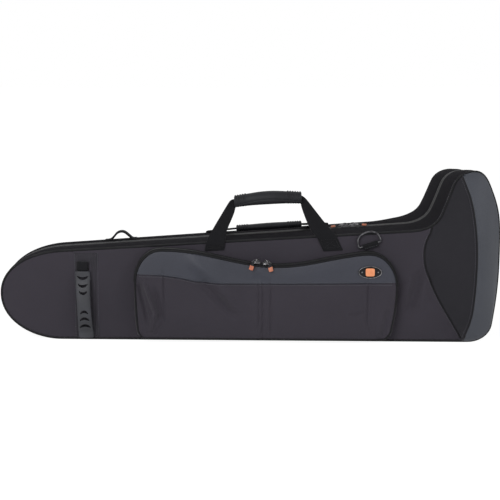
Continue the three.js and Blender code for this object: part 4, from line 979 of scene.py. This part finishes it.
def buildGrip(name, place, deep, body):
    # the section is an ellipse that swells in the middle, with a sine for each rib and rounded ends. A seam
    # arches along each side, and the ribs stand on the upper half only
    x = denseEnds(handle["grip"], handle["near"], 170)
    share = x / handle["grip"]
    near = np.minimum(x, handle["grip"] - x)
    reach = handle["ribPitch"] * np.where(share < 0.5, *handle["ribs"])
    rib = np.where(near < reach, handle["rib"] * np.sin(np.pi * near / handle["ribPitch"]) ** 2, 0)[:, None]
    bulge = (handle["slim"] + (1 - handle["slim"]) * np.sin(np.pi * share) ** 2)[:, None]
    ends = (1 - handle["rounding"] * (1 - np.clip(near / handle["near"][-1], 0, 1)) ** 2)[:, None]
    angle = np.linspace(0, 2 * np.pi, 96, endpoint=False)
    seamAngle = handle["seamLow"] - handle["seamRise"] * np.sin(np.pi * share)[:, None]
    off = np.minimum(np.abs(angle - np.pi - seamAngle), np.abs(angle - 2 * np.pi + seamAngle))
    size = bulge * (1 - handle["seamDeep"] * np.exp(-(off / handle["seamWide"]) ** 2))
    rib = rib * (handle["lowRib"] + (1 - handle["lowRib"]) * np.clip(0.5 + 1.2 * np.sin(angle), 0, 1))
    y = (deep / 2 * size + rib) * ends * np.cos(angle)
    z = (handle["high"] / 2 * size + rib) * ends * np.sin(angle)
    z = z + (handle["rise"] + handle["arch"] * np.sin(np.pi * share))[:, None]
    points = place(local((handle["start"] + x)[:, None], y, z))
    surface(name, points, "rubber", body, "closed", (f"{body}_grip",))


def buildLeg(name, end, place, shellName, lift):
    # one ribbon from its sewn-down end, over the piping, past the hinge line and into the grip
    side, depth, ridge = shells[shellName]
    span, drift, length, high = handle["feet"][end]
    scale = np.array([handle["start"], handle["rise"]])
    flats = [smoothLine(np.array(line) * scale, 40) + [span, 0] for line in handle["edges"][end]]
    foot = place(local(np.array([span]), 0.0, 0.0))[0]
    beyond = foot[0] + handle["width"]
    slope = np.array([handle["width"], side * (depth(beyond) - depth(foot[0])),
                      neckTop(beyond) - neckTop(foot[0])])
    half = unit(slope) * handle["width"] / 2
    first, last = handle["out"]
    down, out = np.array([(length, first), *handle["drops"], (handle["lastDrop"] - lift, last)]).T
    path = smoothLine(local(foot[0] + drift * np.maximum(down, 0) / length, side * (depth(foot[0]) + out),
                            neckTop(foot[0]) - down), 22)
    path[:, 1] += side * (depth(path[:, 0]) - depth(foot[0]))
    path[:, 2] += neckTop(path[:, 0]) - neckTop(foot[0])
    left, right = (
        smoothLine(np.concatenate([path + half * sign, place(local(flat[:, 0], 0.0, flat[:, 1]))]), 110)
        for sign, flat in zip((-1, 1), flats))
    handleBody = f"{name}_handle"
    ribbon = strap(left, right, handle["thickness"])
    ribbon = surface(f"{name}HandleLeg{end.title()}", ribbon, "webbing", None, "closed",
                     (f"{handleBody}_webbing", f"{handleBody}_anchor_{end}"))
    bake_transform(ribbon)

    # a sewn square with a cross holds the end down
    wide, low = handle["sewnHalf"], handle["sewnLow"]
    square = [(-wide, high), (wide, high), (wide, low), (-wide, low), (-wide, high), (wide, low),
              (wide, high), (-wide, low)]
    across, down = np.array(square, float).T
    x = foot[0] + drift * down / length + across
    out = handle["threadOut"] + handle["overPiping"] * (down < 8)
    line = evenly(local(x, side * (depth(x) + out), neckTop(x) - down), 160)
    stitches(f"{name}HandleSewing{end.title()}", line, (0, side, 0), shellName, paint="darkThread")


def buildHandles():
    # the front handle stands, and the rear one lies forward with its grip at its own height
    lying = 90 - math.degrees(math.asin(handle["rearRise"] / handle["rise"]))
    for name, shellName, lift, lean, deep in (
            ("front", "lid", 0.0, 0.0, handle["deep"]),
            ("rear", "rear", handle["rearLift"], lying, handle["rearDeep"])):
        origin, axis = hinge(f"{name}_handle_fold")
        x = axis * np.sign(axis[0])
        y, z = leaned(x, lean)
        place = basis(origin, x, y, z)
        buildGrip(f"{name}HandleGrip", place, deep, f"{name}_handle")
        for end in handle["feet"]:
            buildLeg(name, end, place, shellName, lift)


buildHandles()
print("handles made")

# band round the left end with its bowed grip. A slot is (height, width), a ridge (place, width, height)
endGrip = {
    "left": -322.5, "foot": 5, "top": 133, "drift": 5, "wide": 29, "waist": 26.5, "thickness": 8, "seat": 14,
    "lift": 11, "seatOut": 2.2, "near": (0.0, 0.2, 0.7, 1.4), "cut": (-6.0, 14.0), "round": 0.7, "middle": 79,
    "slots": [(121.5, 21), (107.5, 18.5), (94, 15.5), (55.5, 15.5), (42, 18.5), (28, 21)],
    "slotHeight": 5.2, "curl": 4.2,
}
endBand = {
    "left": -329, "width": 46, "low": 6.7, "high": 167.6,
    "ridges": [(3.4, 2.6, 0.9), (34.6, 1.7, 0.8), (40.2, 1.9, 0.9)],
    "near": (0.0, 0.2, 0.8, 1.4), "out": (0.3, 1.1), "rim": 1.2, "fade": 1.5, "wall": 0.3,
    "sewing": (-327.9, -284.2),
}


def settled(piece):
    # the piece's mesh with its modifiers carried out
    mesh = bpy.data.meshes.new_from_object(piece.evaluated_get(bpy.context.evaluated_depsgraph_get()))
    piece.modifiers.clear()
    piece.data = mesh


def buildEndGrip():
    # the strap bows out as a sine to the power 0.6 between its two seats and narrows towards the middle
    height, seat = endGrip["top"] - endGrip["foot"], endGrip["seat"]
    run = denseEnds(height, endGrip["near"], 150)
    z = endGrip["foot"] + run
    bow = np.sin(np.pi * shareOf(run, seat, height - seat))
    bowOut = np.convolve(np.pad(endGrip["lift"] * bow ** 0.6, 4, mode="edge"), np.ones(9) / 9, mode="valid")
    width = endGrip["wide"] + (endGrip["waist"] - endGrip["wide"]) * bow
    left = endGrip["left"] - endGrip["drift"] * run / height + (endGrip["wide"] - width) / 2
    near = np.clip(np.minimum(run, height - run) / endGrip["near"][-1], 0, 1)
    rounding = (0.8 + 0.2 * np.sqrt(1 - (1 - near) ** 2))[:, None]
    c, s = circle(44)
    deep = np.where(s > 0, 0.35 + 0.65 * np.abs(s) ** 0.8, 0.35 - 0.35 * np.abs(s) ** 0.4)
    x = left[:, None] + width[:, None] * (0.5 + 0.5 * squared(c, 0.55) * rounding)
    out = endGrip["seatOut"] + bowOut[:, None] + endGrip["thickness"] * (0.5 + (deep - 0.5) * rounding)
    grip = surface("endGripStrap", onFront(x, z[:, None], out), "endRubber", None, "closed")

    # the slots are crescents that curl away from the middle
    cutters = []
    for place, wide in endGrip["slots"]:
        c, s = circle(40)
        plan = squared(c, 0.8)
        curl = endGrip["curl"] * (1 if place > endGrip["middle"] else -1) * (plan ** 2 - 0.5)
        x = np.interp(place, z, left + width / 2) + wide / 2 * plan
        out = endGrip["seatOut"] + np.interp(place, z, bowOut)
        up = place + endGrip["slotHeight"] / 2 * s + curl
        rows = [onFront(x, up, out + reach) for reach in endGrip["cut"]]
        cutters.append(surface(f"slotCutter{place}", np.stack(rows), "rubber", None, "closed"))
        step = grip.modifiers.new("slot", "BOOLEAN")
        step.object, step.operation, step.solver = cutters[-1], "DIFFERENCE", "EXACT"
    settled(grip)
    for cutter in cutters:
        bpy.data.objects.remove(cutter)
    smoothed(grip.data)
    rounded(grip, endGrip["round"], meshing["cutAngle"])
    declare(grip, "lid", ("end_grip",))


def buildEndBand():
    # flat cloth with three rolled ridges along it, whose rim is rounded as a quarter circle
    across = denseEnds(endBand["width"], endBand["near"], 70)
    rim = np.clip(np.minimum(across, endBand["width"] - across) / endBand["rim"], 0, 1)
    raised = endBand["out"][0] + endBand["out"][1] * np.sqrt(1 - (1 - rim) ** 2)
    for middle, wide, tall in endBand["ridges"]:
        raised = raised + tall * np.exp(-((across - middle) / wide) ** 4)
    z = np.linspace(endBand["low"], endBand["high"], 40)[:, None]
    fade = np.clip(np.minimum(z - endBand["low"], endBand["high"] - z) / endBand["fade"], 0.3, 1)
    points = onFront(endBand["left"] + across, z, raised * fade)
    surface("endBand", points, "bandCloth", "lid", "sheet", ("end_band",), (0, -1, 0),
            endBand["wall"])
    softCopy("end_grip_cap", "endGripCap", "webbing", "lid", "moulded_rubber", 1.8)
    for number, x in enumerate(endBand["sewing"]):
        line = onFront(x, np.linspace(9, neckTop(x) - 8, 60), 2.0)
        stitches(f"bandSewing{number}", line, (0, -1, 0), "lid")


buildEndGrip()
buildEndBand()

topLoop = {
    "left": -277, "size": (62, 16), "above": 1.5, "front": 17.0, "back": 35.0, "thickness": 3.6,
    "shares": [(0, 0), (0.16, 0), (0.26, 0.3), (0.37, 0.85), (0.5, 1), (0.62, 0.9), (0.76, 0.4), (0.86, 0),
               (1, 0)],
    "sewing": (-273.5, -271, -220, -217.5), "sewingAbove": 2.8,
}


def buildTopLoop():
    # a small loop of webbing with its flat ends sewn to the top
    flat = smoothLine(np.array(topLoop["shares"]) * topLoop["size"], 70)
    x = topLoop["left"] + flat[:, 0]
    z = neckTop(x) + topLoop["above"] + flat[:, 1]
    band = strap(local(x, topLoop["front"], z), local(x, topLoop["back"], z), topLoop["thickness"])
    surface("topLoopWebbing", band, "webbing", "rear", "closed", ("top_loop",))
    y = np.linspace(topLoop["front"] + 2, topLoop["back"] - 2, 20)
    for number, place in enumerate(topLoop["sewing"]):
        line = local(place, y, neckTop(place) + topLoop["sewingAbove"])
        stitches(f"loopSewing{number}", line, (0, 0, 1), "rear")


buildTopLoop()

# D-ring on its tab
dRing = {
    "width": 43, "height": 24, "wire": 1.8, "gap": 0.6, "tabWidth": 30, "tabLength": 6, "tab": 1.6,
    "sewnHalf": 12.5, "sewnLow": 4.2, "threadOut": 0.9,
}


def buildRing():
    # the ring's height is a sine to the power 0.62 over its width
    origin, x = hinge("d_ring_swing")
    y = unit(np.cross(upwards, x))
    place = basis(origin, x, y, np.cross(x, y))
    half = dRing["width"] / 2
    angle = np.linspace(0, np.pi, 90)
    arc = np.stack([half * np.cos(angle), dRing["height"] * np.sin(angle) ** 0.62], axis=1)
    bar = np.stack([np.linspace(-half, half, 40)[1:-1], np.zeros(38)], axis=1)
    loop = evenly(np.concatenate([arc, bar, arc[:1]]), 161)[:-1]
    for _ in range(3):
        loop = (np.roll(loop, 1, axis=0) + 2 * loop + np.roll(loop, -1, axis=0)) / 4
    wire = tube(place(local(loop[:, 0], 0.0, loop[:, 1])), dRing["wire"], y, True, 18)
    surface("dRingWire", wire, "gunmetal", "d_ring", "ring", ("d_ring",))

    # the tab is folded round the ring's bar
    middle = dRing["wire"] + dRing["gap"] + dRing["tab"] / 2
    fold = np.linspace(0, np.pi, 24)
    tail = np.linspace(-dRing["tabLength"], 0, 8)[:-1]
    y0 = np.concatenate([np.full(7, middle), middle * np.cos(fold), np.full(7, -middle)])
    z0 = np.concatenate([tail, middle * np.sin(fold), tail[::-1]])
    left, right = (place(local(sign * dRing["tabWidth"] / 2, y0, z0)) for sign in (-1, 1))
    tab = strap(left, right, dRing["tab"])
    surface("dRingTab", tab, "webbing", "lid", "closed", ("d_ring_tab",))
    across = np.linspace(-dRing["sewnHalf"], dRing["sewnHalf"], 30)
    stitches("dRingSewing", place(local(across, -middle - dRing["threadOut"], -dRing["sewnLow"])), -y, "lid")


buildRing()
print("end grip, loop and D-ring made")

# zip sliders with their pulls. Levels of the body are (height, size), and stations of the tip's two parts
# are (distance from the link's bar, half width, half thickness)
slider = {
    "length": 15, "width": 10, "taper": 0.18, "bailWire": 0.9, "bar": 5.55, "bailTop": 7.65, "wire": 0.8,
    "levels": [(0.35, 0.86), (0.5, 0.94), (0.9, 0.985), (1.5, 0.97), (1.7, 0.84), (2.3, 0.84), (2.5, 0.95),
               (3.3, 0.97), (3.8, 0.9), (4.0, 0.78)],
    "arch": [(-4, -4.65), (-4, -2.2), (-3.4, -0.7), (-2, 0), (0, 0), (2, 0), (3.4, -0.7), (4, -2.2),
             (4, -4.65)],
    "link": 13, "linkWide": 7.4, "corner": 1.8, "tilt": 6,
    "sleeve": [(-2.2, 0.88, 0.51), (-2.1, 1.65, 1.19), (-1.6, 2.2, 1.564), (-1.0, 2.2, 1.7), (1.9, 2.2, 1.7),
               (2.6, 2.53, 1.7), (3.5, 3.57, 1.7), (4.4, 4.074, 1.7), (5.4, 4.2, 1.7), (6.0, 4.2, 1.666),
               (6.2, 4.074, 1.581)],
    "block": [(6.0, 3.78, 1.445), (6.15, 4.074, 1.615), (6.6, 4.2, 1.7), (13.2, 4.2, 1.7),
              (14.0, 4.032, 1.615), (14.5, 3.612, 1.36), (14.8, 2.52, 0.85)],
}


def plate(place, stations):
    # a moulded plate: its sections are rounded rectangles
    c, s = circle(28)
    y, z = squared(c, 0.45), squared(s, 0.6)
    return np.stack([place(local(x, y * half, z * high)) for x, half, high in stations])


def buildSlider(name, node, lean, bend):
    # node is the slider's body and its CAD solid, and its joints are named after it
    pullBody = node.replace("slider", "pull")
    pivot, axis = hinge(f"{pullBody}_swing")
    x = unit(joints[f"{node}_run"]["axis"])
    y, z = leaned(x, lean)
    root = pivot - slider["bar"] * z

    # the body: two plates with a slot between them, and a nose at each end
    c, s = circle(48)
    plan = local(slider["length"] / 2 * squared(c, 0.75),
                 slider["width"] / 2 * squared(s, 0.8) * (1 - slider["taper"] * c), 0.0)
    rows = [basis(root, x, y, z)(plan * size + [0, 0, high]) for high, size in slider["levels"]]
    surface(f"{name}Body", np.stack(rows), "nickel", node, "closed", (node,))

    # the bail is an arch along the pull
    side = -axis
    ahead = unit(np.cross(side, z))
    arch = smoothLine(np.array(slider["arch"]) + [0, slider["bailTop"]], 50)
    bail = tube(root + arch[:, :1] * ahead + arch[:, 1:] * z, slider["bailWire"], side, False, 14)
    surface(f"{name}Bail", bail, "nickel", node, "closed")

    # the link is a long ring through the bail, with round corners
    down = math.radians(slider["tilt"])
    pullWay = ahead * math.cos(down) - z * math.sin(down)
    normal = np.cross(pullWay, side)
    far, corner = slider["link"], slider["corner"]
    end, high = far - corner, slider["linkWide"] / 2 - corner
    loop = []
    for number, middle in enumerate(((end, high), (corner, high), (corner, -high), (end, -high))):
        turn = np.linspace(0, np.pi / 2, 8) + number * np.pi / 2
        loop.append(middle + corner * np.stack([np.cos(turn), np.sin(turn)], axis=1))
    loop = evenly(np.concatenate([*loop, loop[0][:1]]), 97)[:-1]
    ring = basis(pivot, pullWay, side, normal)(local(loop[:, 0], loop[:, 1], 0.0))
    surface(f"{name}Link", tube(ring, slider["wire"], normal, True, 12), "nickel", pullBody, "ring",
            (f"{node}_link",))

    # the tip: a dark moulded sleeve round the link's bar, ending in a copper-coloured block
    turned = math.radians(bend)
    tipWay = pullWay * math.cos(turned) - normal * math.sin(turned)
    tip = basis(pivot + pullWay * far, tipWay, side, np.cross(tipWay, side))
    surface(f"{name}Sleeve", plate(tip, slider["sleeve"]), "rubber", pullBody, "closed")
    surface(f"{name}TipEnd", plate(tip, slider["block"]), "copperRubber", pullBody, "closed",
            (f"{node}_tip",))


for end in ("left", "right"):
    buildSlider(f"mainSlider{end.title()}", f"main_slider_{end}", 0, 0)
    buildSlider(f"pocketSlider{end.title()}", f"pocket_slider_{end}", 15, 69)

# the bare oval plate on the pocket. Profiles are (share of the size or radius, height)
badge = {
    "x": 226, "z": 137, "wide": 44, "high": 23, "out": 23.8, "rim": 0.955, "rimHigh": 2.1, "rimWire": 0.55,
    "plate": [(0.0, 2.0), (0.4, 2.0), (0.84, 2.0), (0.87, 2.2), (0.9, 2.32), (0.94, 2.32), (0.97, 2.15),
              (0.99, 1.8), (1.0, 1.3), (1.0, 0.2), (0.97, 0.0), (0.5, 0.0), (0.0, 0.0)],
    "inlaySize": (8.5, 7.5), "rivetSpread": 15,
    "inlay": [(0.0, 3.05), (0.9, 3.05), (0.96, 2.98), (1.0, 2.75), (1.0, 2.25), (0.9, 2.1), (0.0, 2.1)],
    "rivet": [(0.0, 3.2), (0.5, 3.14), (1.0, 2.9), (1.35, 2.55), (1.5, 2.2), (1.3, 2.05), (0.0, 2.05)],
}


def buildBadge():
    # the plate lies on the pocket's slope. Each part is a profile carried round an outline
    slant = math.atan2(shell["frontBell"] - shell["frontEnd"], shell["frontDeepest"] + shell["half"])
    x = np.array([math.cos(slant), -math.sin(slant), 0.0])
    out = np.cross(x, upwards)
    place = basis(onFront(badge["x"], badge["z"], badge["out"]), x, out, upwards)
    c, s = circle(96)
    halfWide, halfHigh = badge["wide"] / 2, badge["high"] / 2
    inlayWide, inlayHigh = badge["inlaySize"]

    def raised(name, profile, across, up, paint, slot, node, shift=0.0):
        # each point of the profile scales the outline and lifts it
        rows = [place(local(shift + across * size, high, up * size)) for size, high in badge[profile]]
        surface(name, np.stack(rows), paint, "pocket_front", "dome", (node,))

    raised("badgePlate", "plate", halfWide * c, halfHigh * s, "blackPlate", "badge_black", "badge")
    rim = place(local(badge["rim"] * halfWide * c, badge["rimHigh"], badge["rim"] * halfHigh * s))
    rim = tube(rim, badge["rimWire"], out, True, 10)
    surface("badgeRim", rim, "nickel", "pocket_front", "ring")
    raised("badgeInlay", "inlay", inlayWide * squared(c, 0.35), inlayHigh * squared(s, 0.35), "copperPlate",
           "copper_inlay", "badge_inlay")
    for end, sign in (("left", -1), ("right", 1)):
        raised(f"badgeRivet{end.title()}", "rivet", c, s, "nickel", "nickel", f"badge_rivet_{end}",
               sign * badge["rivetSpread"])


buildBadge()
print("sliders and badge made")

# inside: plush linings, foam rests, the strap, the accessory box and the pad
inside = {
    "inset": 10.0, "back": 7.7, "thickness": 3.0, "swell": 0.7, "columns": 150, "rows": 50,
    "strip": [(10.0, 0, 1.0), (11.5, 0, 0.8), (13.0, 0, 1.2), (13.0, 0.25, -1.25), (13.0, 0.5, -3.5),
              (13.0, 0.75, -5.75), (13.0, 1, -8.2), (10.0, 1, -8.2)],
    "solids": [
        ("lid_spine", "lidSpine", "gusset", "lid", "nylon", 0.6),
        ("rear_spine", "rearSpine", "gusset", "rear", "nylon", 0.6),
        ("bell_cradle", "bellCradle", "foam", "rear", "foam", 2.2),
        ("neck_rest", "neckRest", "foam", "rear", "foam", 2.5),
        ("slide_rest_left", "slideRestLeft", "foam", "rear", "foam", 2.5),
        ("slide_rest_right", "slideRestRight", "foam", "rear", "foam", 2.5),
        ("slide_strap", "slideStrap", "webbing", "rear", "webbing", 0.6),
        ("accessory_box", "accessoryBox", "plastic", "rear", "box_plastic", 0.9),
        ("accessory_lid", "accessoryLid", "plastic", "accessory_lid", "box_plastic", 0.8),
    ],
}


def buildLining(name):
    # the sheet follows the face at a fixed distance behind it, the strip follows the frame
    side, depth, ridge = shells[name]
    flat = wholePanel(caseLoop + caseIn * inside["inset"], inside["columns"], inside["rows"])
    x, z = flat[..., 0], flat[..., 1]
    sheet = sunk(local(x, side * (depth(x) - inside["back"] + inside["swell"] * swell(x, z, ridge)), z))
    surface(f"{name}Lining", sheet, "lining", name, "sheet", (f"{name}_lining",), (0, -side, 0),
            inside["thickness"])
    strip = ringSurface(caseLoop, caseIn, name, inside["strip"])
    surface(f"{name}LiningStrip", strip, "lining", name, "ring", (f"{name}_lining_strip",))


buildLining("lid")
buildLining("rear")
for solid in inside["solids"]:
    softCopy(*solid)

pad = {
    "left": -165, "right": 236, "low": 26, "high": 140, "thickness": 8, "thinnest": 0.15, "back": 8.3,
    "channels": 5, "inset": 3.0, "faces": (-1.0, -5.5), "quickVoxel": 6.0, "voxel": 5.0, "pressure": 4.0,
    "cap": 4.0, "steps": 20, "crown": 7, "channel": 4, "drawn": 0.6, "fill": 0.7,
}


def evened(piece, voxel):
    # the piece's mesh made again of cells of one size
    remesh = piece.modifiers.new("even", "REMESH")
    remesh.mode, remesh.voxel_size = "VOXEL", voxel / 1000
    settled(piece)
    return verticesOf(piece.data)


def blownUp(piece):
    # the points of the piece swollen as cloth, each moved no further than the cap
    rest = evened(piece, pad["voxel"])
    cloth = piece.modifiers.new("swell", "CLOTH")
    cloth.settings.use_pressure = True
    cloth.settings.uniform_pressure_force = pad["pressure"]
    cloth.settings.effector_weights.gravity = 0
    cloth.point_cache.frame_end = pad["steps"]
    for step in range(1, pad["steps"] + 1):
        bpy.context.scene.frame_set(step)
    settled(piece)
    bpy.context.scene.frame_set(1)
    shift = verticesOf(piece.data) - rest
    far = np.linalg.norm(shift, axis=1)[:, None]
    return rest + shift * np.minimum(1, pad["cap"] / 1000 / np.maximum(far, 1e-9))


def buildPad():
    # a quilted pad: swollen as cloth over foam, held flat on the lining and drawn in along its sewn channels
    left, right, low, high = (pad[key] for key in ("left", "right", "low", "high"))
    inset = pad["inset"]
    x = np.array([left + inset, right - inset, right - inset, left + inset])
    z = np.array([low + inset, low + inset, high - inset, high - inset])
    rows = [onFront(x, z, out - pad["back"]) for out in pad["faces"]]
    piece = surface("lidPad", np.stack(rows), "foam", None, "closed")
    places = blownUp(piece)
    x, y, z = (places * 1000).T
    gap = (right - left) / (pad["channels"] + 1)
    off = np.abs((x - left + gap / 2) % gap - gap / 2)
    off = np.where((x < left + gap / 2) | (x > right - gap / 2), gap, off)
    edge = np.minimum(np.minimum(x - left, right - x), np.minimum(z - low, high - z))
    crown = 1 - np.exp(-np.maximum(edge, 0) / pad["crown"])
    drawn = 1 - pad["drawn"] * np.exp(-(off / pad["channel"]) ** 2)
    rise = (y + frontDepth(x) - pad["back"]) * (0.5 + 0.5 * crown) * drawn
    rise = np.clip(rise, pad["thinnest"], pad["thickness"])
    places = local(np.clip(x, left, right), pad["back"] + rise - frontDepth(x), np.clip(z, low, high)) / 1000
    piece.data.vertices.foreach_set("co", places.astype(np.float32).ravel())
    smoothed(piece.data)
    finer = piece.modifiers.new("finer", "SUBSURF")
    finer.levels = finer.render_levels = 1
    declare(piece, "lid", ("lid_pad",))


buildPad()
print("linings, rests, box and pad made")

# sewing that shows in the photo: (name, distance from the seam) and, on the bell, the line that it follows
seams = {
    "ends": (-205, 268), "band": [("bandSeamUpper", 2.6), ("bandSeamLower", -2.2)], "bandThread": 0.5,
    "bandOut": (0, -1, 0), "cordOut": (-0.3, -0.954, 0.0), "bellOut": (-0.3, -1, 0),
    "cords": [("bellSeamCord", seamUp, 1.5, creases["neck"]), ("crestCord", crestUp, 1.1, [])],
    "bell": [("bellSeamSewing", seamUp, -3.4, creases["neck"]), ("crestSewing", crestUp, 4.2, []),
             ("crestSewingInner", crestUp, -3.2, [])],
}


def buildSeams():
    # stitches and cords that follow the faces at fixed distances from their seams
    x = np.linspace(*seams["ends"], 300)
    for name, above in seams["band"]:
        line = pocketFace(np.stack([x, np.interp(x, *np.array(pocket["seam"]).T) + above], axis=-1))
        stitches(name, line, seams["bandOut"], "pocket_front", seams["bandThread"])
    for name, line, radius, folded in seams["cords"]:
        path = evenly(facePoints(line[2:-2], "lid", folded), 260)
        cord = tube(path, radius, seams["cordOut"], False, 12)
        surface(name, cord, "piping", "lid", "closed")
    for name, line, shift, folded in seams["bell"]:
        stitches(name, facePoints(line[3:-3] + [shift, 0], "lid", folded), seams["bellOut"], "lid")


buildSeams()
print("seams sewn")
